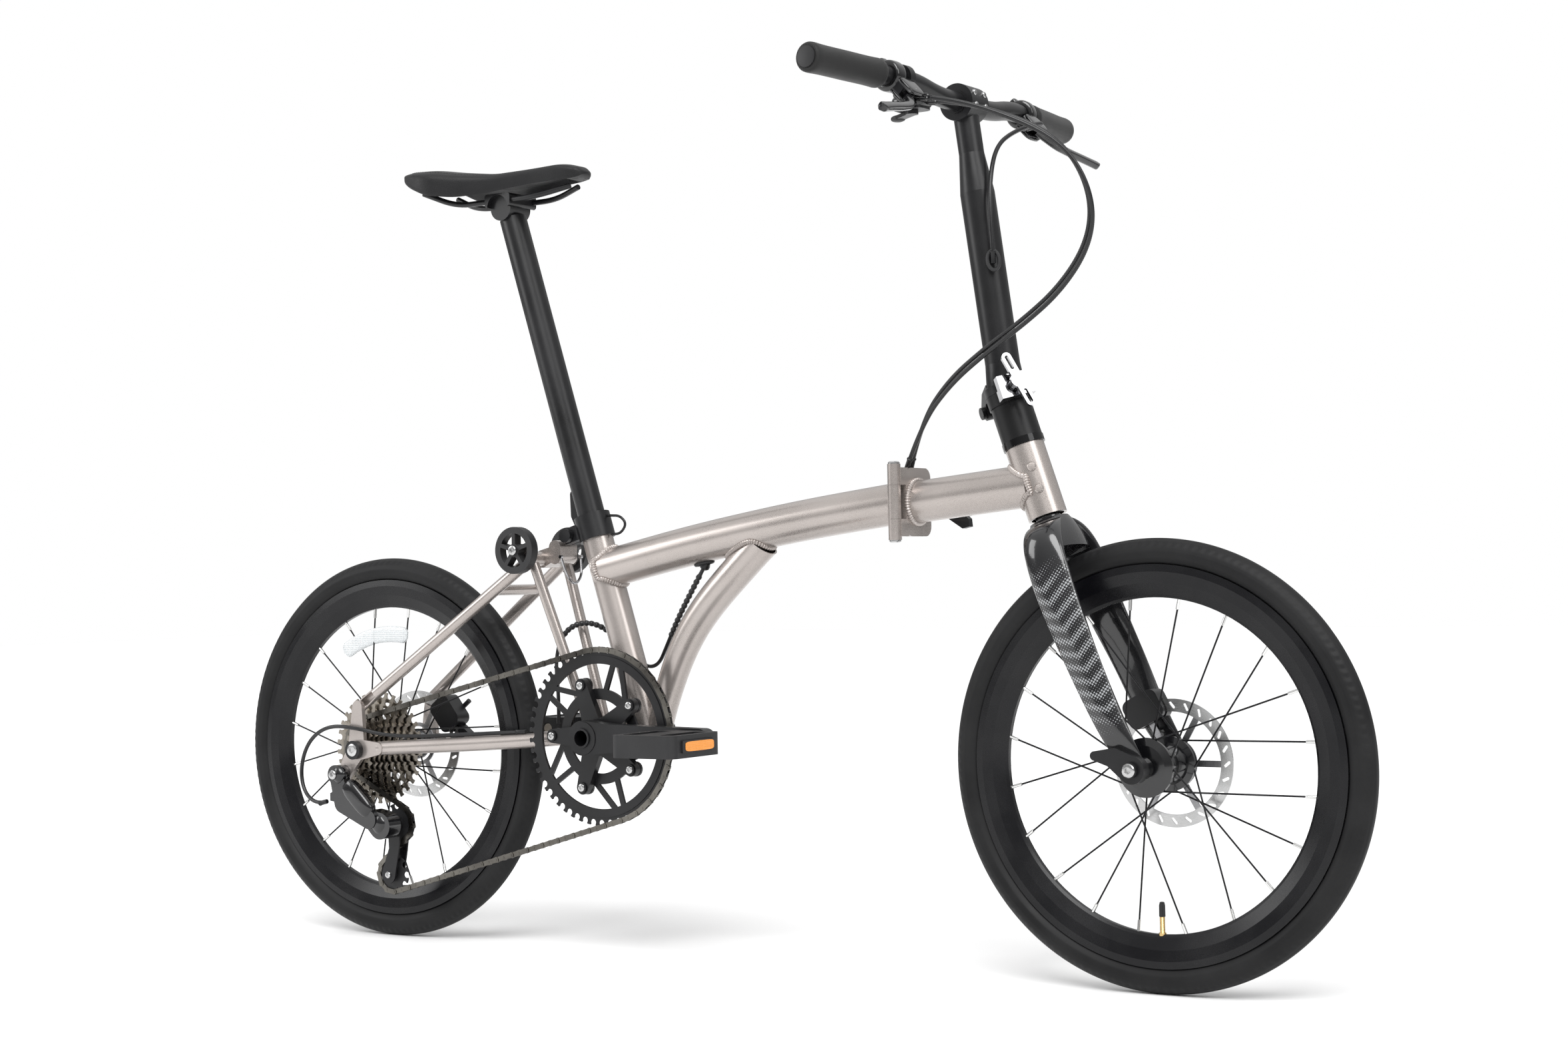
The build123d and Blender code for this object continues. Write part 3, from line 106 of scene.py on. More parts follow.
def on_bar(sign, along):
    """Point on the outer run of the bar, along mm in from its tip, and the direction towards the tip."""
    tip, inner = BAR + mm(-24, 290, 11), BAR + mm(-2, 112, 9)
    d = unit(tip - inner)
    p = tip - d * along / 1000
    return p * [1, sign, 1], d * [1, sign, 1]


# ---- settings ----------------------------------------------------------------------------------
class BikePaint(bpy.types.PropertyGroup):
    """Colours of the painted and finished surfaces."""

    frame_light: bpy.props.FloatVectorProperty(
        name="Frame paint", description="Lighter tone of the satin metallic frame paint", subtype="COLOR",
        size=3, min=0, max=1, default=(0.5, 0.455, 0.43))
    frame_deep: bpy.props.FloatVectorProperty(
        name="Frame paint, deep", description="Deeper tone of the frame paint's flakes", subtype="COLOR",
        size=3, min=0, max=1, default=(0.33, 0.295, 0.275))
    black: bpy.props.FloatVectorProperty(
        name="Black parts", description="Tone of the black satin metal parts", subtype="COLOR",
        size=3, min=0, max=1, default=(0.004, 0.004, 0.0045))


class BikeWheels(bpy.types.PropertyGroup):
    """Sizes of the tyres and their tread."""

    tread_blocks: bpy.props.IntProperty(
        name="Tread blocks", description="Shoulder grooves round each tyre", default=150, min=20, max=400)
    tread_depth: bpy.props.FloatProperty(
        name="Tread depth", description="Depth of the shoulder grooves", default=0.0006, min=0, max=0.003,
        unit="LENGTH")


class BikeSoft(bpy.types.PropertyGroup):
    """Sizes of the saddle and the cables."""

    crown: bpy.props.FloatProperty(
        name="Saddle dip", description="How far the saddle's middle dips between nose and tail",
        default=0.006, min=0, max=0.02, unit="LENGTH")
    cable: bpy.props.FloatProperty(
        name="Cable diameter", description="Diameter of the outer cables", default=0.005, min=0.003, max=0.008,
        unit="LENGTH")
    stitch: bpy.props.FloatProperty(
        name="Stitch length", description="Length of one stitch along the saddle's seams", default=0.004,
        min=0.002, max=0.01, unit="LENGTH")


class BikeStage(bpy.types.PropertyGroup):
    """Camera and light."""

    lens: bpy.props.FloatProperty(
        name="Lens", description="Focal length of the camera in millimetres", default=59.14, min=20, max=200)
    sky: bpy.props.FloatProperty(
        name="Ambient light", description="Strength of the even light round the object", default=1.0, min=0,
        max=4)


# ---- mesh helpers ------------------------------------------------------------------------------
def grid_faces(nu, nv, wrap_u=False, wrap_v=False):
    """Quads of an nu by nv grid of points, numbered i * nv + j, closed on either side if asked."""
    i, j = np.meshgrid(np.arange(nu if wrap_u else nu - 1), np.arange(nv if wrap_v else nv - 1), indexing="ij")
    i2, j2 = (i + 1) % nu, (j + 1) % nv
    return np.stack([i * nv + j, i2 * nv + j, i2 * nv + j2, i * nv + j2], -1).reshape(-1, 4)


def across(axis):
    """Two unit vectors square to an axis and to each other."""
    a = unit(axis)
    first = unit(np.cross(a, [0, 1, 0] if abs(a[1]) < 0.9 else [1, 0, 0]))
    return first, np.cross(a, first)


def spun(profile, origin, axis, steps=32, wrap=False, ripple=None):
    """Profile of (along, radius) mm turned about an axis: origin + along*axis + radius*(cos t*e1 + sin t*e2)."""
    profile = np.asarray(profile, float) / 1000
    e1, e2 = across(axis)
    t = np.linspace(0, 2 * np.pi, steps, endpoint=False)
    radius = np.repeat(profile[None, :, 1], steps, 0)
    if ripple is not None:
        radius = radius * ripple(t[:, None], np.arange(len(profile))[None, :])
    ring = np.cos(t)[:, None] * e1 + np.sin(t)[:, None] * e2
    p = np.asarray(origin) + profile[None, :, :1] * unit(axis) + radius[..., None] * ring[:, None, :]
    return p.reshape(-1, 3), grid_faces(steps, len(profile), True, wrap)


def frames(path, closed):
    """Unit tangents of a path, and at each point two directions square to it, turned as little as possible."""
    if closed:
        tangent = np.roll(path, -1, 0) - np.roll(path, 1, 0)
    else:
        tangent = np.gradient(path, axis=0)
    tangent /= np.linalg.norm(tangent, axis=1)[:, None]
    ref = np.linalg.svd(path - path.mean(0))[2][2]
    side = np.cross(tangent, ref)
    side /= np.maximum(np.linalg.norm(side, axis=1), 1e-9)[:, None]
    return tangent, side, np.cross(tangent, side)


def tube(path, radius, sides=8, closed=False, squash=1.0):
    """Round section carried along a path: p + r*(cos t*side + squash*sin t*over), ends closed to a point."""
    path = np.asarray(path, float)
    radius = np.broadcast_to(np.asarray(radius, float), len(path)).copy()
    if not closed:
        path = np.concatenate([path[:1], path, path[-1:]])
        radius = np.concatenate([[0], radius, [0]])
    _, side, over = frames(path if closed else path[1:-1], closed)
    if not closed:
        side, over = (np.concatenate([v[:1], v, v[-1:]]) for v in (side, over))
    t = np.linspace(0, 2 * np.pi, sides, endpoint=False)
    p = path[:, None] + radius[:, None, None] * (
        np.cos(t)[None, :, None] * side[:, None] + squash * np.sin(t)[None, :, None] * over[:, None])
    return p.reshape(-1, 3), grid_faces(len(path), sides, closed, True)


def prism(outline, e1, e2, origin, a, b, normal):
    """Outline of (u, v) mm in the plane origin + u*e1 + v*e2, drawn out along the normal from a to b mm."""
    uv = np.asarray(outline, float) / 1000
    flat = np.asarray(origin) + uv[:, :1] * e1 + uv[:, 1:] * e2
    n = len(flat)
    p = np.concatenate([flat + np.asarray(normal) * a / 1000, flat + np.asarray(normal) * b / 1000])
    k = np.arange(n)
    sides = np.stack([k, (k + 1) % n, (k + 1) % n + n, k + n], -1)
    return p, sides.tolist() + [list(range(n - 1, -1, -1)), list(range(n, 2 * n))]


def pod(centre, axes, halves, square=0.5):
    """Rounded block: each half size times a power of the sine or cosine of two angles, along three axes."""
    u = np.linspace(0, 2 * np.pi, 40, endpoint=False)[:, None]
    v = np.linspace(-np.pi / 2, np.pi / 2, 21)[None, :]

    def soft(x):
        return np.sign(x) * np.abs(x) ** square

    parts = (soft(np.cos(v)) * soft(np.cos(u)), soft(np.cos(v)) * soft(np.sin(u)), soft(np.sin(v)) + 0 * u)
    p = np.asarray(centre) + sum(h / 1000 * w[..., None] * np.asarray(a) for h, w, a in zip(halves, parts, axes))
    return p.reshape(-1, 3), grid_faces(40, 21, True, False)


def piece(name, parts, material, body, angle=32.0, replaces=()):
    """One object out of several closed shells, doubles merged and faces turned outwards."""
    verts, faces, base = [], [], 0
    for v, f in parts:
        verts.append(np.asarray(v, float))
        faces += [[int(i) + base for i in q] for q in (f.tolist() if isinstance(f, np.ndarray) else f)]
        base += len(v)
    mesh = bpy.data.meshes.new(name)
    mesh.from_pydata(np.concatenate(verts).tolist(), [], faces)
    bm = bmesh.new()
    bm.from_mesh(mesh)
    bmesh.ops.remove_doubles(bm, verts=bm.verts, dist=2e-6)
    bmesh.ops.recalc_face_normals(bm, faces=bm.faces)
    bm.to_mesh(mesh)
    bm.free()
    mesh.shade_smooth()
    mesh.set_sharp_from_angle(angle=math.radians(angle))
    mesh.materials.append(material)
    obj = bpy.data.objects.new(name, mesh)
    bpy.context.scene.collection.objects.link(obj)
    if body:
        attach(obj, body)
    if replaces:
        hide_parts(*replaces)
    return obj


def bolt(origin, axis, r, h=2.5):
    """Domed cap screw with a hexagon socket: the dome's profile turned, the socket's rows pulled to six sides."""
    rows = [(-1.0, 0), (-1.0, r), (h * 0.55, r), (h * 0.9, r * 0.86), (h, r * 0.62), (h, r * 0.5), (h * 0.2, r * 0.48),
            (h * 0.15, 0)]

    def ripple(t, k):
        six = math.cos(math.pi / 6) / np.cos(t % (math.pi / 3) - math.pi / 6)
        return np.where(k >= 5, six, 1.0)

    return spun(rows, origin, axis, 36, ripple=ripple)


# ---- finishes ----------------------------------------------------------------------------------
class Finish:
    """A node material: helper calls add nodes and join them, plain values go on the shader itself."""

    def __init__(self, name, **plain):
        self.material = bpy.data.materials.new(name)
        self.material.use_nodes = True
        self.tree = self.material.node_tree
        self.shader = self.tree.nodes["Principled BSDF"]
        for key, value in plain.items():
            self.shader.inputs[key.replace("_", " ")].default_value = value
        self.place = self.add("ShaderNodeTexCoord").outputs["Object"]

    def add(self, kind, inputs=None, **props):
        node = self.tree.nodes.new(kind)
        for key, value in props.items():
            setattr(node, key, value)
        for key, value in (inputs or {}).items():
            if isinstance(value, bpy.types.NodeSocket):
                self.tree.links.new(value, node.inputs[key])
            else:
                node.inputs[key].default_value = value
        return node

    def math(self, operation, a, b=0.0, c=0.0):
        return self.add("ShaderNodeMath", {0: a, 1: b, 2: c}, operation=operation).outputs[0]

    def dot(self, vector, direction):
        return self.add("ShaderNodeVectorMath", {0: vector, 1: tuple(direction)},
                        operation="DOT_PRODUCT").outputs["Value"]

    def noise(self, scale, detail=3.0, vector=None, roughness=0.55):
        return self.add("ShaderNodeTexNoise", {"Vector": vector or self.place, "Scale": scale, "Detail": detail,
                                               "Roughness": roughness}).outputs["Fac"]

    def span(self, value, a, b, low=0.0, high=1.0):
        """Value brought from a..b to low..high, held at the ends."""
        return self.add("ShaderNodeMapRange", {"Value": value, "From Min": a, "From Max": b, "To Min": low,
                                               "To Max": high}).outputs["Result"]

    def blend(self, share, a, b):
        """Colour between two colours or colour sockets."""
        node = self.add("ShaderNodeMix", {0: share}, data_type="RGBA")
        for socket, value in ((node.inputs[6], a), (node.inputs[7], b)):
            if isinstance(value, bpy.types.NodeSocket):
                self.tree.links.new(value, socket)
            else:
                socket.default_value = (*value[:3], 1)
        return node.outputs[2]

    def set(self, key, value):
        self.tree.links.new(value, self.shader.inputs[key])

    def bump(self, height, strength, distance):
        node = self.add("ShaderNodeBump", {"Height": height, "Strength": strength, "Distance": distance})
        self.set("Normal", node.outputs["Normal"])

    def done(self):
        return self.material


def worn(name, light, deep, rough, spread, grain=900.0, bump=0.12, depth=0.0002, **plain):
    """Finish whose colour and roughness drift over the surface, with a fine grain."""
    f = Finish(name, **plain)
    slow, fine = f.noise(14, 4), f.noise(grain, 2)
    f.set("Base Color", f.blend(f.span(slow, 0.35, 0.65), deep, light))
    f.set("Roughness", f.math("ADD", f.span(slow, 0.3, 0.7, rough - spread, rough + spread),
                              f.span(fine, 0.3, 0.7, -0.03, 0.03)))
    f.bump(fine, bump, depth)
    return f


MATERIALS = {}


def paint_finish(settings):
    """Satin metallic frame paint: two close tones sparkle in fine flakes under a clear coat."""
    f = Finish("frame_paint", Metallic=0.75, Coat_Weight=0.4, Coat_Roughness=0.14)
    flakes = f.add("ShaderNodeTexVoronoi", {"Vector": f.place, "Scale": 2600}, feature="F1").outputs["Color"]
    flake = f.add("ShaderNodeSeparateColor", {0: flakes}).outputs[0]
    slow = f.noise(9, 3)
    tone = f.math("ADD", f.span(flake, 0, 1, 0.2, 0.65), f.span(slow, 0.35, 0.65, 0, 0.3))
    f.set("Base Color", f.blend(tone, settings.frame_deep, settings.frame_light))
    f.set("Roughness", f.math("ADD", f.span(slow, 0.3, 0.7, 0.26, 0.33), f.span(flake, 0, 1, -0.03, 0.03)))
    f.bump(f.noise(1500, 2), 0.05, 0.0001)
    return f.done()


def rotor_finish(axle, name):
    """Brushed steel with rings round the axle: noise read on (radius, height) streaks round the disc."""
    f = Finish(name, Metallic=1.0)
    away = f.add("ShaderNodeVectorMath", {0: f.place, 1: tuple(axle)}, operation="SUBTRACT").outputs[0]
    flat = f.add("ShaderNodeVectorMath", {0: away, 1: (1, 0, 1)}, operation="MULTIPLY").outputs[0]
    r = f.add("ShaderNodeVectorMath", {0: flat}, operation="LENGTH").outputs["Value"]
    ring = f.add("ShaderNodeCombineXYZ", {0: r, 1: 0.0, 2: 0.0}).outputs[0]
    streak = f.noise(2500, 3, ring)
    band = f.span(r, 0.055, 0.057)
    f.set("Base Color", f.blend(band, f.blend(streak, (0.3, 0.3, 0.31), (0.42, 0.42, 0.43)),
                                f.blend(streak, (0.5, 0.5, 0.5), (0.72, 0.72, 0.72))))
    f.set("Roughness", f.span(streak, 0.3, 0.7, 0.2, 0.36))
    f.bump(streak, 0.25, 0.0001)
    return f.done()


def spoke_finish(axle, name):
    """Dark butted spokes whose outer ends, the nipples, are bright: the change is at one radius."""
    f = Finish(name, Metallic=1.0)
    away = f.add("ShaderNodeVectorMath", {0: f.place, 1: tuple(axle)}, operation="SUBTRACT").outputs[0]
    flat = f.add("ShaderNodeVectorMath", {0: away, 1: (1, 0, 1)}, operation="MULTIPLY").outputs[0]
    r = f.add("ShaderNodeVectorMath", {0: flat}, operation="LENGTH").outputs["Value"]
    nipple = f.span(r, 0.1692, 0.1698)
    grain = f.noise(1200, 2)
    f.set("Base Color", f.blend(nipple, f.blend(grain, (0.015, 0.015, 0.016), (0.04, 0.04, 0.042)), (0.75, 0.75, 0.74)))
    f.set("Roughness", f.math("ADD", f.span(nipple, 0, 1, 0.34, 0.18), f.span(grain, 0.3, 0.7, -0.04, 0.04)))
    f.bump(grain, 0.1, 0.0001)
    return f.done()


def fork_finish():
    """Glossy black fork with a pale dotted wave on the blades' outer faces."""
    f = Finish("fork_gloss", Coat_Weight=0.6, Coat_Roughness=0.05)
    origin = head(0)
    away = f.add("ShaderNodeVectorMath", {0: f.place, 1: tuple(origin)}, operation="SUBTRACT").outputs[0]
    s, fore = f.dot(away, UP[19]), f.dot(away, FWD[19])
    y = f.math("ABSOLUTE", f.dot(away, Y))
    cells = f.add("ShaderNodeCombineXYZ", {0: s, 1: fore, 2: 0.0}).outputs[0]
    turned = f.add("ShaderNodeVectorRotate", {"Vector": cells, "Angle": 0.72}, rotation_type="Z_AXIS").outputs[0]
    dots = f.add("ShaderNodeTexVoronoi", {"Vector": turned, "Scale": 330, "Randomness": 0.0},
                 feature="F1").outputs["Distance"]
    fold = f.math("PINGPONG", f.math("ADD", fore, f.math("MULTIPLY", s, 0.2)), 0.03)
    wave = f.math("SINE", f.math("ADD", f.math("MULTIPLY", s, 390.0), f.math("MULTIPLY", fold, 210.0)))
    size = f.math("MULTIPLY", f.span(wave, -0.9, 0.9, 0.12, 0.4),
                  f.math("MULTIPLY", f.span(s, -0.3, -0.27), f.span(s, -0.09, -0.12)))
    dot = f.math("LESS_THAN", dots, size)
    outside = f.math("GREATER_THAN", f.dot(f.add("ShaderNodeNewGeometry").outputs["Normal"], Y), 0.55)
    inside = f.math("LESS_THAN", f.dot(f.add("ShaderNodeNewGeometry").outputs["Normal"], Y), -0.55)
    right = f.math("LESS_THAN", f.dot(away, Y), 0.0)
    face = f.math("ADD", f.math("MULTIPLY", outside, f.math("SUBTRACT", 1.0, right)), f.math("MULTIPLY", inside, right))
    show = f.math("MULTIPLY", f.math("MULTIPLY", dot, face), f.math("GREATER_THAN", y, 0.045))
    slow = f.noise(10, 3)
    f.set("Base Color", f.blend(show, f.blend(slow, (0.006, 0.006, 0.007), (0.014, 0.014, 0.015)), (0.3, 0.31, 0.32)))
    f.set("Roughness", f.math("ADD", f.span(slow, 0.3, 0.7, 0.12, 0.2), f.math("MULTIPLY", show, 0.15)))
    f.bump(f.noise(500, 2), 0.03, 0.0001)
    return f.done()


def collar_finish():
    """Black satin collar whose clamp block is polished bright: the change is at one distance from the axis."""
    f = Finish("collar_satin")
    away = f.add("ShaderNodeVectorMath", {0: f.place, 1: tuple(head(0))}, operation="SUBTRACT").outputs[0]
    toward = unit(FWD[19] - Y)
    out, s = f.dot(away, toward), f.dot(away, UP[19])
    bright = f.math("MULTIPLY", f.span(out, 0.0248, 0.0252), f.span(s, 0.09, 0.0905))
    ring = f.math("MULTIPLY", f.span(s, 0.0502, 0.0498), 1.0)
    grain = f.noise(1100, 2)
    f.set("Base Color", f.blend(bright, (0.005, 0.005, 0.0055), (0.42, 0.42, 0.43)))
    f.set("Metallic", f.span(bright, 0, 1, 0.4, 1.0))
    rough = f.math("SUBTRACT", f.span(bright, 0, 1, 0.36, 0.07), f.math("MULTIPLY", ring, 0.26))
    f.set("Roughness", f.math("ADD", rough, f.span(grain, 0.3, 0.7, -0.02, 0.03)))
    f.bump(grain, 0.05, 0.0001)
    return f.done()


def pad_finish(name, tone, scale, strength, sheen):
    """Pebbled skin: cells of a Voronoi pattern raised over a slower swell."""
    f = Finish(name, Sheen_Weight=sheen, Sheen_Roughness=0.4, Specular_IOR_Level=0.3)
    cells = f.add("ShaderNodeTexVoronoi", {"Vector": f.place, "Scale": scale}, feature="F1").outputs["Distance"]
    slow = f.noise(25, 3)
    f.set("Base Color", f.blend(slow, tone, [c * 2.1 for c in tone]))
    f.set("Roughness", f.math("ADD", f.span(slow, 0.3, 0.7, 0.46, 0.6), f.span(cells, 0, 0.6, 0.06, -0.04)))
    f.bump(f.math("ADD", cells, f.math("MULTIPLY", slow, 0.6)), strength, 0.0004)
    return f.done()


def lens_finish(name, colour, transmission):
    """Moulded reflector: a fine square lattice of prisms under a smooth skin."""
    f = Finish(name, Transmission_Weight=transmission, IOR=1.49, Coat_Weight=0.5, Coat_Roughness=0.05)
    lattice = f.add("ShaderNodeTexVoronoi", {"Vector": f.place, "Scale": 420, "Randomness": 0.0},
                    feature="F1", distance="CHEBYCHEV").outputs["Distance"]
    f.set("Base Color", f.blend(f.span(lattice, 0.1, 0.5), colour, [min(c * 1.7, 1) for c in colour]))
    f.set("Roughness", f.span(lattice, 0, 0.5, 0.12, 0.3))
    f.bump(lattice, 0.6, 0.0008)
    return f.done()


def make_finishes(paint):
    black = tuple(paint.black)
    lift = tuple(min(c * 2.2, 1) for c in black)
    m = MATERIALS
    m["paint"] = paint_finish(paint)
    m["satin"] = worn("black_satin", lift, black, 0.34, 0.05, Specular_IOR_Level=0.4).done()
    m["gloss"] = worn("black_gloss", black, (0.004, 0.004, 0.005), 0.16, 0.04, bump=0.04, Coat_Weight=0.5,
                      Coat_Roughness=0.06).done()
    m["rim"] = worn("rim_black", (0.008, 0.008, 0.009), (0.003, 0.003, 0.004), 0.26, 0.04, bump=0.05,
                    Specular_IOR_Level=0.28).done()
    m["plastic"] = worn("black_plastic", (0.013, 0.013, 0.014), (0.006, 0.006, 0.007), 0.5, 0.06, grain=1400, bump=0.3).done()
    m["rubber"] = worn("tyre_rubber", (0.0125, 0.0125, 0.013), (0.006, 0.006, 0.0065), 0.55, 0.07, grain=1600, bump=0.35,
                       Specular_IOR_Level=0.22).done()
    m["cable"] = worn("cable_housing", (0.008, 0.008, 0.009), (0.004, 0.004, 0.005), 0.34, 0.05, grain=700, bump=0.1).done()
    m["steel"] = worn("grey_steel", (0.34, 0.31, 0.27), (0.15, 0.135, 0.115), 0.3, 0.07, bump=0.15, Metallic=1.0).done()
    m["links"] = worn("chain_links", (0.2, 0.19, 0.17), (0.08, 0.075, 0.068), 0.34, 0.08, bump=0.15, Metallic=1.0).done()
    m["silver"] = worn("silver_metal", (0.6, 0.6, 0.6), (0.44, 0.44, 0.44), 0.22, 0.05, bump=0.08, Metallic=1.0).done()
    m["chrome"] = worn("polished_chrome", (0.45, 0.45, 0.46), (0.32, 0.32, 0.33), 0.07, 0.03, bump=0.02, Metallic=1.0).done()
    m["brass"] = worn("brass_valve", (0.8, 0.6, 0.3), (0.6, 0.42, 0.18), 0.24, 0.05, Metallic=1.0).done()
    m["fork"] = fork_finish()
    m["collar"] = collar_finish()
    m["front_rotor"] = rotor_finish(FRONT, "front_rotor_steel")
    m["rear_rotor"] = rotor_finish(REAR, "rear_rotor_steel")
    m["front_spoke"] = spoke_finish(FRONT, "front_spoke_steel")
    m["rear_spoke"] = spoke_finish(REAR, "rear_spoke_steel")
    m["saddle"] = pad_finish("saddle_cover", (0.005, 0.005, 0.0055), 900, 0.35, 0.05)
    m["foam"] = pad_finish("grip_foam", (0.007, 0.007, 0.007), 1500, 0.6, 0.12)
    m["amber"] = lens_finish("amber_reflector", (0.9, 0.22, 0.01), 0.15)
    m["clear"] = lens_finish("clear_reflector", (0.55, 0.57, 0.58), 0.35)
    m["bead"] = worn("weld_bead", (0.5, 0.455, 0.43), (0.3, 0.265, 0.245), 0.34, 0.06, grain=700, bump=0.3, Metallic=0.6,
                     Coat_Weight=0.3, Coat_Roughness=0.2).done()


CAD_FINISH = {
    "paint": ["seat_tube", "main_tube", "arch_tube", "bb_shell", "main_hinge_rear", "main_hinge_front", "front_tube",
              "head_tube", "right_chainstay", "left_chainstay", "right_seatstay", "left_seatstay", "rear_cross_members"],
    "satin": ["seat_clamp", "main_hinge_lever", "front_axle", "front_caliper", "handlepost", "handlebar", "bar_controls",
              "right_brake_lever", "left_brake_lever", "shift_lever", "rear_axle", "rear_caliper", "right_crank",
              "left_crank", "chainring", "seatpost", "seat_clamp_lever", "derailleur_cage"],
    "gloss": ["front_hub", "rear_hub", "derailleur"],
    "rim": ["front_rim", "rear_rim"],
    "plastic": ["guide_pulley", "tension_pulley", "right_pedal", "left_pedal", "rollers"],
    "steel": ["cassette", "pedal_axles"],
    "chrome": ["latch_bail", "post_lever"],
    "fork": ["fork"],
    "collar": ["steerer_collar"],
    "front_rotor": ["front_rotor"],
    "rear_rotor": ["rear_rotor"],
    "front_spoke": ["front_spokes"],
    "rear_spoke": ["rear_spokes"],
}


# ---- shapes ------------------------------------------------------------------------------------
def tyre_shell(centre, blocks, depth):
    """Tyre as z = mid + r*sin a, y = r*cos a turned round the axle: r is the half width less the grooves and
    the sidewall step, and the inner wall follows 2.6 mm inside."""
    mid, half = 0.2295, 0.0155
    steps = blocks * 4
    u = np.linspace(0, 2 * np.pi, steps, endpoint=False)[:, None]
    a = np.radians(np.concatenate([np.linspace(-150, 150, 53), np.linspace(150, -150, 17)]))
    outer = np.arange(len(a)) < 53
    shoulder = np.exp(-((np.abs(np.degrees(a)) - 52) / 13) ** 4) * outer
    wave = 0.5 + 0.5 * np.cos(blocks * u + 3.0 * np.abs(a)[None, :])
    ridge = 0.0005 * np.exp(-((np.abs(np.degrees(a)) - 88) / 2.6) ** 2) + 0.0004 * np.exp(
        -((np.abs(np.degrees(a)) - 112) / 3.0) ** 2)
    r = np.where(outer, half - 0.0005 + ridge, half - 0.0026)[None, :] - depth * (wave > 0.62) * shoulder[None, :]
    r = r + np.where(outer & (np.abs(np.degrees(a)) < 20), 0.0005, 0.0)[None, :]
    radial, along = mid + r * np.cos(a), r * np.sin(a)
    p = np.stack([centre[0] + radial * np.sin(u), centre[1] + along, centre[2] + radial * np.cos(u)], -1)
    return p.reshape(-1, 3), grid_faces(steps, len(a), True, True)


def meeting(point, along, radius, other, other_along, other_radius, start=0.0, count=420):
    """Loop where a tube's surface lines first touch another tube: each line p + t*along is solved for the
    distance other_radius from the other axis, held at the widest point where it would miss."""
    d, q = unit(along), unit(other_along)
    e1, e2 = across(d)
    a = np.linspace(0, 2 * np.pi, count, endpoint=False)[:, None]
    p = np.asarray(point) + radius * (np.cos(a) * e1 + np.sin(a) * e2)
    w = p - np.asarray(other)
    w = w - (w @ q)[:, None] * q
    v = d - (d @ q) * q
    b, c = w @ v, (w * w).sum(1) - other_radius ** 2
    root = np.sqrt(np.maximum(b * b - (v @ v) * c, 0.0))
    t = (-b - root) / (v @ v)
    return p + np.maximum(t, start)[:, None] * d


def bead(loop, radius=0.0032):
    """Weld bead: a closed tube whose radius repeats r*(1 + 0.2*saw) along the loop, like a row of leaning coins."""
    length = np.concatenate([[0], np.cumsum(np.linalg.norm(np.diff(loop, axis=0), axis=1))])
    coin = (length / 0.003) % 1.0
    return tube(loop, radius * (0.8 + 0.34 * np.sin(np.pi * coin)), 8, closed=True)


def chain_path():
    """Centre line of the chain: straight runs between pitch circles and arcs round them, evenly spaced."""
    pitch = 12.7
    loop = [(-172, 267, pitch / 2 / math.sin(math.pi / 52), 1), (-543.5, 245, pitch / 2 / math.sin(math.pi / 20), 1),
            (-497, 150, pitch / 2 / math.sin(math.pi / 11), -1), (-508, 85, pitch / 2 / math.sin(math.pi / 11), 1)]
    runs = []
    for (x0, z0, r0, s0), (x1, z1, r1, s1) in zip(loop, loop[1:] + loop[:1]):
        t = math.atan2(z1 - z0, x1 - x0) + math.asin((s0 * r0 - s1 * r1) / math.hypot(x1 - x0, z1 - z0))
        n = np.array([math.sin(t), -math.cos(t)])
        runs.append((np.array([x0, z0]) + s0 * r0 * n, np.array([x1, z1]) + s1 * r1 * n))
    line = []
    for i, (a, b) in enumerate(runs):
        line.append(a + (b - a) * np.linspace(0, 1, 200)[:-1, None])
        x, z, r, s = loop[(i + 1) % 4]
        c = runs[(i + 1) % 4][0]
        a0, a1 = math.atan2(b[1] - z, b[0] - x), math.atan2(c[1] - z, c[0] - x)
        turn = (a1 - a0) % (2 * math.pi) if s > 0 else -((a0 - a1) % (2 * math.pi))
        g = a0 + turn * np.linspace(0, 1, 200)[:-1]
        line.append(np.stack([x + r * np.cos(g), z + r * np.sin(g)], -1))
    line = np.concatenate(line)
    line = np.concatenate([line, line[:1]])
    far = np.concatenate([[0], np.cumsum(np.linalg.norm(np.diff(line, axis=0), axis=1))])
    links = int(round(far[-1] / pitch))
    links += links % 2
    at = np.linspace(0, far[-1], links, endpoint=False)
    return np.stack([np.interp(at, far, line[:, 0]), np.interp(at, far, line[:, 1])], -1)


def link_plate(a, b, y, thick):
    """Side plate of one link: two rounds joined by a waist, the outline r(g) = 4.0 - 1.1*sin(g)^4 at its middle."""
    g = np.linspace(0, 2 * np.pi, 20, endpoint=False)
    half = np.linalg.norm(b - a) / 2
    u = np.where(np.cos(g) > 0, 1, -1) * half * np.clip(np.abs(np.cos(g)) * 3, 0, 1) + 3.7 * np.cos(g)
    w = 4.0 * np.sin(g) * (1 - 0.24 * np.abs(np.sin(g)) ** 8)
    d = (b - a) / (2 * half)
    c = (a + b) / 2
    e1, e2 = np.array([d[0], 0, d[1]]), np.array([-d[1], 0, d[0]])
    return prism(np.stack([u, w], -1), e1, e2, mm(c[0], y, c[1]), 0, thick, Y)


def cable_path(points):
    """Points read from a smooth curve that has the route's points as its control points."""
    curve = cable_curve("reading", points, 0.0)
    mesh = bpy.data.meshes.new_from_object(curve)
    co = np.zeros(len(mesh.vertices) * 3)
    mesh.vertices.foreach_get("co", co)
    bpy.data.meshes.remove(mesh)
    data = curve.data
    bpy.data.objects.remove(curve)
    bpy.data.curves.remove(data)
    return co.reshape(-1, 3)


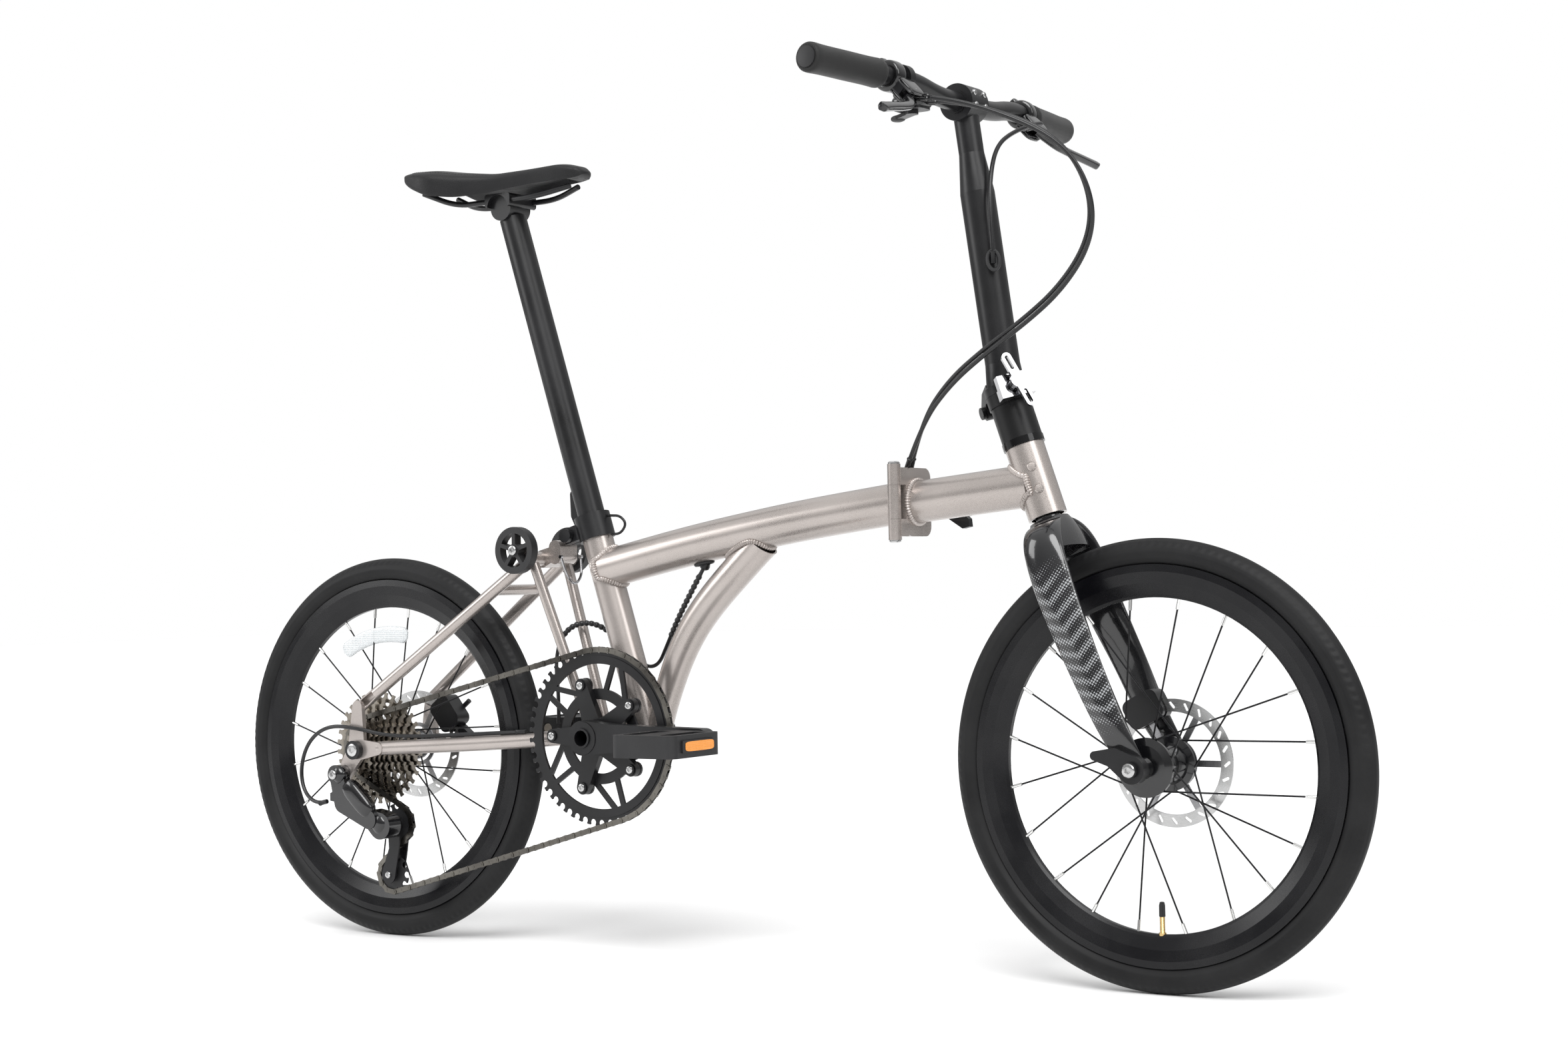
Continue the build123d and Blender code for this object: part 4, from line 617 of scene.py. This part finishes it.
def cable_curve(name, points, radius):
    data = bpy.data.curves.new(name, "CURVE")
    data.dimensions = "3D"
    data.resolution_u = 24
    data.bevel_depth = radius
    data.bevel_resolution = 4
    data.use_fill_caps = True
    spline = data.splines.new("NURBS")
    spline.points.add(len(points) - 1)
    co = np.ones((len(points), 4))
    co[:, :3] = np.asarray(points, float) / 1000
    spline.points.foreach_set("co", co.ravel())
    spline.order_u = 3
    spline.use_endpoint_u = True
    obj = bpy.data.objects.new(name, data)
    bpy.context.scene.collection.objects.link(obj)
    return obj


BUNDLE = [(340, -125.5, 973), (382, -121, 966), (453, -102, 936), (492, -90, 908), (512, -80, 872), (516, -70, 833),
          (501, -62, 795), (466, -56, 757), (422, -52, 727), (373, -50, 699), (323, -46, 666), (280, -36, 625),
          (247, -14, 578.4)]
SECOND = [(343, -112, 970), (374, -110, 967)] + [(x - 5, y + 4, z + 5) for x, y, z in BUNDLE[2:-2]] + [
    (274, -26, 628), (247, -5, 578.4)]
ROUTES = {
    "front_brake_line": ("front_brake_cable", "handlepost",
                         [(338, 125.5, 974), (366, 114, 974), (368, 84, 969), (357, 50, 956), (353, 20, 938),
                          (358, -6, 905), (364, -22, 858), (366.5, -20, 802)]),
    "bundle_line_a": ("main_cables", "handlepost", BUNDLE),
    "bundle_line_b": ("main_cables", "handlepost", SECOND),
    "shift_line": ("shift_cable", "rear_triangle",
                   [(-304, -28.6, 269.4), (-352, -34.8, 266.8), (-404, -45.0, 264.8), (-456, -55.6, 262.4),
                    (-500, -67.0, 264), (-540, -80, 274), (-584, -82, 276), (-624, -75, 256), (-642, -72, 222),
                    (-634, -76, 190), (-607, -81, 174), (-589, -82.5, 178)]),
}
REAR_RUN = [(-45, 0, 471.5), (-58, 0, 452), (-84, 0, 412), (-106, 4, 376), (-128, 16, 350), (-158, 27, 348),
            (-190, 27, 378), (-220, 16, 403), (-250, 8, 403), (-272, 6, 384), (-283, 10, 352), (-285, 18, 314),
            (-292, 26, 276)]


# ---- operators ---------------------------------------------------------------------------------
class PieceOperator:
    bl_options = {"REGISTER", "UNDO"}


class BIKE_OT_finishes(PieceOperator, bpy.types.Operator):
    """Make every finish and put it on the pieces that keep their shape"""

    bl_idname = "bike.finishes"
    bl_label = "Finishes"

    def execute(self, context):
        make_finishes(context.scene.bike_paint)
        for key, names in CAD_FINISH.items():
            for name in names:
                mesh = NODES[name].data
                if not len(mesh.materials):
                    mesh.materials.append(MATERIALS[key])
                for i in range(len(mesh.materials)):
                    mesh.materials[i] = MATERIALS[key]
        return {"FINISHED"}


class BIKE_OT_stage(PieceOperator, bpy.types.Operator):
    """Camera, plain pale floor and soft studio light"""

    bl_idname = "bike.stage"
    bl_label = "Stage"

    def execute(self, context):
        settings = context.scene.bike_stage
        data = bpy.data.cameras.new("camera")
        data.lens, data.sensor_width = settings.lens, 36.0
        data.clip_start, data.clip_end = 0.05, 60
        camera = bpy.data.objects.new("camera", data)
        context.scene.collection.objects.link(camera)
        yaw, pitch, roll = -0.5753, 0.0203, -0.0202
        ahead = np.array([math.cos(pitch) * math.sin(yaw), math.cos(pitch) * math.cos(yaw), math.sin(pitch)])
        r0 = np.array([math.cos(yaw), -math.sin(yaw), 0.0])
        u0 = np.cross(r0, ahead)
        right, over = math.cos(roll) * r0 + math.sin(roll) * u0, -math.sin(roll) * r0 + math.cos(roll) * u0
        turn = np.eye(4)
        turn[:3, 0], turn[:3, 1], turn[:3, 2], turn[:3, 3] = right, over, -ahead, (1.7202, -2.5459, 0.4588)
        camera.matrix_world = [list(row) for row in turn.T]
        context.scene.camera = camera
        bpy.ops.mesh.primitive_plane_add(size=30, location=(0, 0, -0.0002))
        floor = context.object
        floor.name = "floor"
        f = Finish("floor_white")
        f.set("Base Color", f.blend(f.noise(3, 3), (0.86, 0.86, 0.86), (0.9, 0.9, 0.9)))
        f.set("Roughness", f.span(f.noise(40, 2), 0.3, 0.7, 0.75, 0.85))
        floor.data.materials.append(f.done())
        world = bpy.data.worlds.new("studio")
        context.scene.world = world
        world.use_nodes = True
        nodes, links = world.node_tree.nodes, world.node_tree.links
        where, part = nodes.new("ShaderNodeTexCoord"), nodes.new("ShaderNodeSeparateXYZ")
        glow, seen = nodes.new("ShaderNodeMapRange"), nodes.new("ShaderNodeMix")
        sight = nodes.new("ShaderNodeLightPath")
        links.new(where.outputs["Generated"], part.inputs[0])
        links.new(part.outputs["Z"], glow.inputs["Value"])
        for key, value in (("From Min", -0.1), ("From Max", 0.85), ("To Min", 0.12 * settings.sky),
                           ("To Max", settings.sky)):
            glow.inputs[key].default_value = value
        links.new(sight.outputs["Is Camera Ray"], seen.inputs["Factor"])
        links.new(glow.outputs["Result"], seen.inputs["A"])
        seen.inputs["B"].default_value = 1.0
        links.new(seen.outputs["Result"], nodes["Background"].inputs["Strength"])
        nodes["Background"].inputs["Color"].default_value = (1, 1, 1, 1)
        context.scene.view_settings.view_transform = "Standard"
        for name, kind, place, size, power in (
                ("key", "SUN", (0.9, -1.9, 2.9), math.radians(38), 2.3), ("side", "AREA", (-2.6, -1.8, 1.6), 1.4, 26),
                ("strip", "AREA", (2.4, -0.6, 2.0), 1.2, 16)):
            light = bpy.data.lights.new(name, kind)
            light.energy = power
            setattr(light, "angle" if kind == "SUN" else "size", size)
            lamp = bpy.data.objects.new(name, light)
            context.scene.collection.objects.link(lamp)
            z = unit(np.array(place) - np.array([0, 0, 0.5]))
            x = unit(np.cross([0, 0, 1], z))
            turn = np.eye(4)
            turn[:3, 0], turn[:3, 1], turn[:3, 2], turn[:3, 3] = x, np.cross(z, x), z, place
            lamp.matrix_world = [list(row) for row in turn.T]
        return {"FINISHED"}


class BIKE_OT_cables(PieceOperator, bpy.types.Operator):
    """Brake and gear cables with their end sleeves"""

    bl_idname = "bike.cables"
    bl_label = "Cables"

    def execute(self, context):
        wide = context.scene.bike_soft.cable
        ferrules = {}
        for name, (node, body, points) in ROUTES.items():
            path = cable_path(points)
            obj = cable_curve(name, points, wide / 2)
            obj.data.materials.append(MATERIALS["cable"])
            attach(obj, body)
            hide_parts(node)
            profile = [(-3, 0), (-3, 2.2), (-2.4, 3.0), (9, 3.0), (10, 3.6), (11, 3.6), (11.6, 2.9), (12, 2.5), (12, 0)]
            for end, inward in ((0, 1), (-1, -2)):
                way = unit(path[inward] - path[end])
                ferrules.setdefault(body, []).append(spun(profile, path[end], way, 20))
        path = cable_path(REAR_RUN)
        far = np.concatenate([[0], np.cumsum(np.linalg.norm(np.diff(path, axis=0), axis=1))])
        at = np.arange(0, far[-1], 0.00055)
        fine = np.stack([np.interp(at, far, path[:, k]) for k in range(3)], -1)
        beads = np.clip((fine[:, 2] - 0.385) * 400, 0, 1) * np.clip((0.462 - fine[:, 2]) * 400, 0, 1)
        ripple = 0.0024 + 0.0013 * beads * np.abs(np.sin(np.pi * at / 0.0068))
        obj = piece("rear_wrapped_line", [tube(fine, ripple, 10)], MATERIALS["cable"], "frame", 70,
                    ["rear_cable"])
        ferrules.setdefault("frame", []).append(spun(
            [(-4, 0), (-4, 5), (0, 6.5), (3, 6.2), (5, 4.2), (5, 0)], path[0], unit(path[1] - path[0]), 24))
        for body, parts in ferrules.items():
            piece(f"cable_sleeves_{body}", parts, MATERIALS["satin"], body)
        return {"FINISHED"}


class BIKE_OT_tyres(PieceOperator, bpy.types.Operator):
    """Tyres with sidewall ridges and a fine shoulder tread, and their brass valves"""

    bl_idname = "bike.tyres"
    bl_label = "Tyres and valves"

    def execute(self, context):
        s = context.scene.bike_wheels
        for end, centre in (("front", FRONT), ("rear", REAR)):
            piece(f"{end}_tread", [tyre_shell(centre, s.tread_blocks, s.tread_depth)], MATERIALS["rubber"],
                  f"{end}_wheel", 40, [f"{end}_tyre"])
            rows = [(182.5, 0), (182.5, 4.2), (179.5, 4.2), (179.5, 3.0)]
            rows += [(179 - 0.5 * k, 3.0 if k % 2 else 2.75) for k in range(36)]
            rows += [(160.5, 2.7), (160.5, 0)]
            piece(f"{end}_valve", [spun(rows, centre, (0, 0, -1), 20)], MATERIALS["brass"], f"{end}_wheel")
            cap = [(162, 0), (162, 3.3), (150, 3.2), (146.5, 2.4), (146, 0)]
            grip = lambda t, k: 1 + 0.05 * np.cos(12 * t)
            piece(f"{end}_valve_cap", [spun(cap, centre, (0, 0, -1), 48, ripple=grip)], MATERIALS["plastic"],
                  f"{end}_wheel")
        return {"FINISHED"}


class BIKE_OT_chain(PieceOperator, bpy.types.Operator):
    """Roller chain, link by link, round the chainring, the cassette and both pulleys"""

    bl_idname = "bike.chain"
    bl_label = "Chain"

    def execute(self, context):
        at = chain_path()
        nxt = np.roll(at, -1, 0)
        parts = []
        for i, (a, b) in enumerate(zip(at, nxt)):
            gap = 2.05 if i % 2 else 1.2
            parts += [link_plate(a, b, -46.5 + gap, 0.85), link_plate(a, b, -46.5 - gap - 0.85, 0.85)]
            parts.append(spun([(-1.15, 0), (-1.15, 3.8), (1.15, 3.8), (1.15, 0)], mm(a[0], -46.5, a[1]), Y, 10))
            parts.append(spun([(-3.2, 0), (-3.2, 1.7), (3.2, 1.7), (3.2, 0)], mm(a[0], -46.5, a[1]), Y, 8))
        obj = piece("roller_chain", parts, MATERIALS["links"], None, 40, ["chain"])
        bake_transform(obj)
        return {"FINISHED"}


class BIKE_OT_welds(PieceOperator, bpy.types.Operator):
    """Weld beads where the frame's tubes meet"""

    bl_idname = "bike.welds"
    bl_label = "Weld beads"

    def execute(self, context):
        main_way = unit(mm(-60, 0, 497) - mm(-200, 0, 468))
        steep = np.array([math.cos(math.radians(50)), 0, math.sin(math.radians(50))])
        low = -np.array([math.cos(math.radians(74)), 0, math.sin(math.radians(74))])
        main_mid = unit(mm(90, 0, 521) - mm(-60, 0, 497))
        rear = [meeting(mm(-60, 0, 497), -main_way, 0.0242, seat(0), UP[17], 0.0209),
                meeting(mm(4, 0, 466), steep, 0.0202, mm(-60, 0, 497), main_mid, 0.0242),
                meeting(mm(-80, 0, 362), low, 0.0172, seat(0), UP[17], 0.0209)]
        rear[2][:, 2] = np.maximum(rear[2][:, 2], 0.254)
        ring = np.linspace(0, 2 * np.pi, 420, endpoint=False)[:, None]

        def hoop(x, z, r):
            return mm(x, 0, z) + r * (np.cos(ring) * Y + np.sin(ring) * np.array([0, 0, 1.0]))

        rear.append(hoop(231.9, 537.6, 0.0246))
        piece("rear_weld_beads", [bead(loop) for loop in rear], MATERIALS["bead"], "frame", 50)
        front_way = unit(mm(400.5, 0, 552) - mm(251, 0, 538))
        front = [meeting(mm(300, 0, 542.5), front_way, 0.0242, head(0), UP[19], 0.0222), hoop(252.1, 538.3, 0.0246)]
        piece("front_weld_beads", [bead(loop) for loop in front], MATERIALS["bead"], "front_frame", 50)
        return {"FINISHED"}


class BIKE_OT_saddle(PieceOperator, bpy.types.Operator):
    """Padded saddle with a dipped top, a rolled edge and stitched seams"""

    bl_idname = "bike.saddle"
    bl_label = "Saddle"

    def execute(self, context):
        soft = context.scene.bike_soft
        lo, hi = (np.array(v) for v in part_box("saddle"))
        n, m = 120, 72
        u = np.linspace(0, 1, n)[:, None]
        x = lo[0] + 0.013 + u * (hi[0] - lo[0] - 0.014)
        key = [0, 0.0735, 0.195, 0.342, 0.507, 0.691, 0.875, 0.96, 1]
        width = np.interp(u, key, [51, 65, 69, 56, 38, 26, 20.5, 16, 11]) / 1000
        top = np.interp(u, key, [38, 42, 42, 36, 31, 33, 35.5, 31, 25]) / 1000
        bottom = np.interp(u, key, [32, 19, 5, 0.5, 5, 12, 13.5, 15, 17]) / 1000
        for row in (width, top, bottom):
            row[5:-5, 0] = np.convolve(row[:, 0], np.ones(11) / 11, "valid")
        a = np.linspace(0, 2 * np.pi, m, endpoint=False)[None, :]
        c, s = np.cos(a), np.sin(a)
        y = width * np.sign(c) * np.abs(c) ** 0.72
        mid = bottom + (top - bottom) * 0.5
        upper = mid + (top - mid) * np.abs(s) ** 0.7
        edge, inside = np.clip(np.abs(s) / 0.3, 0, 1) ** 0.5, np.clip((np.abs(s) - 0.3) / 0.45, 0, 1)
        hollow = (top - bottom - 0.014).clip(0) * np.clip((u - 0.04) * 20, 0, 1) * np.clip((0.93 - u) * 10, 0, 1)
        lower = mid - (mid - bottom) * edge + hollow * inside ** 2 * (3 - 2 * inside)
        z = np.where(s >= 0, upper, lower)
        groove = 0.0026 * np.exp(-(y / 0.008) ** 2) * np.clip((u - 0.12) * 8, 0, 1) * np.clip((0.85 - u) * 6, 0, 1)
        z = z - np.where(s > 0, groove, 0)
        closed = np.sqrt(1 - (1 - np.clip(np.minimum(u, 1 - u) * 24, 0, 1)) ** 2)
        z = mid + (z - mid) * closed
        y = y * (0.55 + 0.45 * closed) * (closed > 0)
        p = np.stack([np.broadcast_to(x, z.shape), np.broadcast_to(y, z.shape), lo[2] + z], -1)
        pad = piece("saddle_pad", [(p.reshape(-1, 3), grid_faces(n, m, False, True))], MATERIALS["saddle"], "seatpost",
                    80, ["saddle"])
        seams = []
        for j in (int(m * 0.11), int(m * 0.39)):
            run = p[8:-8, j]
            far = np.concatenate([[0], np.cumsum(np.linalg.norm(np.diff(run, axis=0), axis=1))])
            at = np.arange(0, far[-1], soft.stitch / 8)
            fine = np.stack([np.interp(at, far, run[:, k]) for k in range(3)], -1)
            seams.append(tube(fine, 0.00022 + 0.0003 * np.abs(np.sin(np.pi * at / soft.stitch)), 6))
        piece("saddle_stitches", seams, MATERIALS["plastic"], "seatpost", 60)
        return {"FINISHED"}


class BIKE_OT_grips(PieceOperator, bpy.types.Operator):
    """Foam grips that swell in the hand, with end plugs"""

    bl_idname = "bike.grips"
    bl_label = "Grips"

    def execute(self, context):
        for side, sign in (("right", -1), ("left", 1)):
            end, way = on_bar(sign, 118)
            rows = [(0, 11.3), (0, 13.6), (1.2, 15.2), (3, 15.9)]
            s = np.linspace(6, 112, 60)
            rows += list(zip(s, 15.3 + 0.5 * np.sin(np.pi * (s - 6) / 106) + 0.9 * ((s - 59) / 53) ** 4))
            rows += [(115, 16.2), (118, 16.0), (120, 15.0), (121, 13.6), (121, 11.3)]
            pad = piece(f"{side}_grip", [spun(rows, end, way, 48, wrap=True)], MATERIALS["foam"], "handlepost",
                        50, ["grips"])
            plug = [(118, 0), (118, 11.0), (121, 11.0), (121.5, 11.6), (122.6, 11.4), (123, 10), (123, 0)]
            piece(f"{side}_bar_plug", [spun(plug, end, way, 32)], MATERIALS["plastic"], "handlepost")
        return {"FINISHED"}


class BIKE_OT_controls(PieceOperator, bpy.types.Operator):
    """Brake lever blades, bracket covers, bar clamps, shifter body, thumb pad and derailleur covers"""

    bl_idname = "bike.controls"
    bl_label = "Levers and shifter"

    def execute(self, context):
        t = np.linspace(0, 1, 60)
        covers = []
        for side, sign in (("right", -1), ("left", 1)):
            p, way = on_bar(sign, 146)
            pivot = p + AHEAD * 0.0288 + mm(0, sign * 2, 0)
            ahead = np.interp(t, [0, 0.12, 0.3, 0.55, 0.75, 0.93, 1], [0, 6, 22, 30, 35, 41, 42])
            out = np.interp(t, [0, 0.12, 0.3, 0.55, 0.75, 0.93, 1], [0, 8, 23, 50, 75, 101, 106])
            for row in (ahead, out):
                row[4:-4] = np.convolve(row, np.ones(9) / 9, "valid")
            thick = np.interp(t, [0, 0.15, 0.3, 0.6, 0.88, 0.95, 1], [6.4, 6.4, 5.4, 4.6, 5.0, 5.6, 2.4]) / 1000
            path = pivot + ahead[:, None] / 1000 * AHEAD + sign * out[:, None] / 1000 * Y
            a = np.linspace(0, 2 * np.pi, 24, endpoint=False)[None, :, None]
            tangent = np.gradient(path, axis=0)
            tangent /= np.linalg.norm(tangent, axis=1)[:, None]
            flat = np.cross(tangent, OVER)
            c, s = (np.sign(w) * np.abs(w) ** 0.7 for w in (np.cos(a), np.sin(a)))
            skin = path[:, None] + thick[:, None, None] * c * flat[:, None] + 0.0043 * s * OVER
            skin = np.concatenate([np.repeat(path[:1, None], 24, 1), skin, np.repeat(path[-1:, None], 24, 1)])
            piece(f"{side}_lever_blade", [(skin.reshape(-1, 3), grid_faces(62, 24, False, True))], MATERIALS["gloss"],
                  f"{side}_brake_lever", 50, [f"{side}_brake_lever"])
            for k in (-1, 1):
                covers.append(pod(p + AHEAD * 0.0235 + OVER * 0.0078 * k, (AHEAD, Y, OVER), (13.5, 15.4, 2.7), 0.6))
            band = [(-1, 11.4), (-1, 15.6), (0.5, 16.9), (3, 17.3), (11, 17.3), (13.5, 16.9), (15, 15.6), (15, 11.4)]
            covers.append(spun(band, p, way, 48, wrap=True))
            covers.append(pod(p + way * 0.007 - AHEAD * 0.0175, (AHEAD, way, OVER), (4.5, 6.6, 8.5), 0.5))
        up = np.array([0, 0, 1.0])
        o = on_bar(-1, 146)[0] + mm(3, 32, -23.7)
        covers.append(pod(o, ([1, 0, 0], Y, up), (20.5, 17, 8.2), 0.6))
        covers.append(pod(o + mm(-6, -4, 9), ([1, 0, 0], Y, up), (12, 12, 6), 0.7))
        piece("lever_and_shifter_bodies", covers, MATERIALS["gloss"], "handlepost", 50)
        tip = on_bar(-1, 146)[0] + mm(3 - 29.5, 32 + 20.6, -34.8)
        along, over = unit([0.733, 0, -0.68]), unit([0.68, 0, 0.733])
        knuckles = [pod(mm(-531, -83.5, 184), (along, Y, over), (29, 8.5, 12.5), 0.6),
                    pod(mm(-562, -84, 214), (along, Y, over), (11, 9, 11), 0.8),
                    pod(mm(-499, -79, 152), (along, Y, over), (12, 8, 13), 0.8)]
        piece("derailleur_covers", knuckles, MATERIALS["gloss"], "rear_triangle", 50)
        piece("thumb_pad", [pod(tip, (unit([0.82, -0.57, 0]), unit([0.57, 0.82, 0]), up), (9, 7.5, 3.6), 0.8)],
              MATERIALS["plastic"], "shift_lever")
        return {"FINISHED"}


class BIKE_OT_reflectors(PieceOperator, bpy.types.Operator):
    """Amber pedal reflectors and the clear arc in the rear wheel"""

    bl_idname = "bike.reflectors"
    bl_label = "Reflectors"

    def execute(self, context):
        k = np.linspace(0, 2 * np.pi, 40, endpoint=False)
        for side in ("right", "left"):
            c = middle(f"{side}_pedal")
            shape = np.stack([28 * np.sign(np.cos(k)) * np.abs(np.cos(k)) ** 0.35,
                              5.6 * np.sign(np.sin(k)) * np.abs(np.sin(k)) ** 0.35], -1)
            up = np.array([0, 0, 1.0])
            parts = [prism(shape, Y, up, c, 44, 46.4, (1, 0, 0)), prism(shape, Y, up, c, -46.4, -44, (1, 0, 0))]
            piece(f"{side}_pedal_reflectors", parts, MATERIALS["amber"], f"{side}_pedal")
        g = np.radians(np.linspace(78, 124, 60))[:, None]
        v = np.linspace(0, 2 * np.pi, 24, endpoint=False)[None, :]
        r = 0.146 + 0.0105 * np.sign(np.cos(v)) * np.abs(np.cos(v)) ** 0.5
        y = -0.004 + 0.0035 * np.sign(np.sin(v)) * np.abs(np.sin(v)) ** 0.6
        taper = np.clip(np.minimum(g - g[0], g[-1] - g) / 0.05, 0, 1) ** 0.5
        r = 0.146 + (r - 0.146) * taper
        y = -0.004 + (y + 0.004) * np.maximum(taper, 0.0)
        p = np.stack([REAR[0] + r * np.cos(g), np.broadcast_to(y, r.shape), REAR[2] + r * np.sin(g)], -1)
        piece("rear_wheel_reflector", [(p.reshape(-1, 3), grid_faces(60, 24, False, True))], MATERIALS["clear"],
              "rear_wheel", 60)
        return {"FINISHED"}


class BIKE_OT_hardware(PieceOperator, bpy.types.Operator):
    """Screws, domes, adjusters, bosses and cable ports"""

    bl_idname = "bike.hardware"
    bl_label = "Screws and small parts"

    def execute(self, context):
        down, up = np.array([0, 0, -1.0]), np.array([0, 0, 1.0])
        right, left = -Y, Y
        screws = {
            "frame": [(mm(242, -36, 581), up, 6.6, 3.0), (mm(242, -36, 495), down, 6.6, 3.0)],
            "fork": [(mm(543.5, -75, 245), right, 7.5, 3.5), (mm(543.5, 64, 245), left, 8, 2.0)],
            "rear_triangle": [(mm(-566, -93, 214), right, 6.0, 3.0), (mm(-290, -63, 495), right, 6.0, 2.4),
                              (mm(-290, 63, 495), left, 6.0, 2.4), (mm(-543.5, -81, 245), right, 8, 1.5),
                              (mm(-543.5, 81, 245), left, 8, 1.5), (mm(-497, -84, 150), right, 5, 2.0)],
            "derailleur_cage": [(mm(-508, -56.5, 85), right, 4.2, 1.8)],
            "crankset": [(CRANK_AXIS + mm(65 * math.cos(math.radians(36 + 72 * i)), -60,
                                          65 * math.sin(math.radians(36 + 72 * i))), right, 4.6, 1.4)
                         for i in range(5)],
            "handlepost": [(BAR + mm(0, sign * 20, 0) + FWD[8] * 0.0205 + UP[8] * k, FWD[8], 3.4, 1.8)
                           for sign in (0.55, -0.55) for k in (0.007, -0.007)],
        }
        for sign, body in ((-1, "right_brake_lever"), (1, "left_brake_lever")):
            p = on_bar(sign, 146)[0] + AHEAD * 0.0288 + mm(0, sign * 2, 0)
            screws["handlepost"].append((p + OVER * 0.0088, OVER, 3.6, 1.6))
        for body, rows in screws.items():
            piece(f"screws_{body}", [bolt(*row) for row in rows], MATERIALS["silver"], body)
        knurl = lambda t, k: 1 + 0.06 * np.cos(14 * t)
        barrel = [(-9, 0), (-9, 3.4), (-2, 3.6), (-1.5, 4.4), (6, 4.4), (6.5, 3.4), (8, 3.0), (8, 0)]
        knobs = [spun(barrel, mm(*route[0]), np.subtract(route[1], route[0]), 56, ripple=knurl)
                 for route in (BUNDLE, SECOND, ROUTES["front_brake_line"][2])]
        piece("cable_adjusters", knobs, MATERIALS["gloss"], "handlepost")
        t = np.linspace(0, 2 * np.pi, 64, endpoint=False)[:, None]
        face = unit(FWD[8] * 0.45 - Y)
        e2 = UP[8]
        e1 = np.cross(face, e2)
        centre = mm(366.5, -20, 803)
        oval = centre + 0.0065 * np.cos(t) * e1 + 0.011 * np.sin(t) * e2
        piece("post_cable_port", [tube(oval, 0.0022, 10, closed=True)], MATERIALS["plastic"], "handlepost")
        oval = mm(-46, 0, 474) + 0.012 * np.cos(t) * unit([1, 0, 0.18]) + 0.0062 * np.sin(t) * Y
        piece("frame_cable_port", [tube(oval, 0.0022, 10, closed=True)], MATERIALS["plastic"], "frame")
        boss = [(-2, 0), (-2, 5.4), (1.2, 5.2), (2.4, 4.0), (2.6, 0)]
        outward = unit(FWD[19] * 0.45 - Y * 0.9)
        spots = [spun(boss, head(s) + outward * 0.0216, outward, 28) for s in (-12, 14)]
        piece("head_tube_bosses", spots, MATERIALS["paint"], "front_frame")
        return {"FINISHED"}


class BIKE_PT_panel(bpy.types.Panel):
    """Lists the bicycle's pieces and settings"""

    bl_label = "Folding bicycle"
    bl_idname = "BIKE_PT_panel"
    bl_space_type = "VIEW_3D"
    bl_region_type = "UI"
    bl_category = "Folding bicycle"

    def draw(self, context):
        for group in SETTINGS:
            box = self.layout.box()
            settings = getattr(context.scene, group)
            for key in settings.__annotations__:
                box.prop(settings, key)
        for name in ORDER:
            self.layout.operator("bike." + name)


SETTINGS = {"bike_paint": BikePaint, "bike_wheels": BikeWheels, "bike_soft": BikeSoft, "bike_stage": BikeStage}
ORDER = ["finishes", "stage", "cables", "tyres", "chain", "welds", "saddle", "grips", "controls", "reflectors", "hardware"]
CLASSES = [BikePaint, BikeWheels, BikeSoft, BikeStage, BIKE_OT_finishes, BIKE_OT_stage, BIKE_OT_cables, BIKE_OT_tyres,
           BIKE_OT_chain, BIKE_OT_welds, BIKE_OT_saddle, BIKE_OT_grips, BIKE_OT_controls, BIKE_OT_reflectors, BIKE_OT_hardware,
           BIKE_PT_panel]


def register():
    for cls in CLASSES:
        bpy.utils.register_class(cls)
    for name, cls in SETTINGS.items():
        setattr(bpy.types.Scene, name, bpy.props.PointerProperty(type=cls))


def unregister():
    for name in SETTINGS:
        delattr(bpy.types.Scene, name)
    for cls in reversed(CLASSES):
        bpy.utils.unregister_class(cls)


def main():
    register()
    for name in ORDER:
        getattr(bpy.ops.bike, name)()


if __name__ == "__main__":
    main()
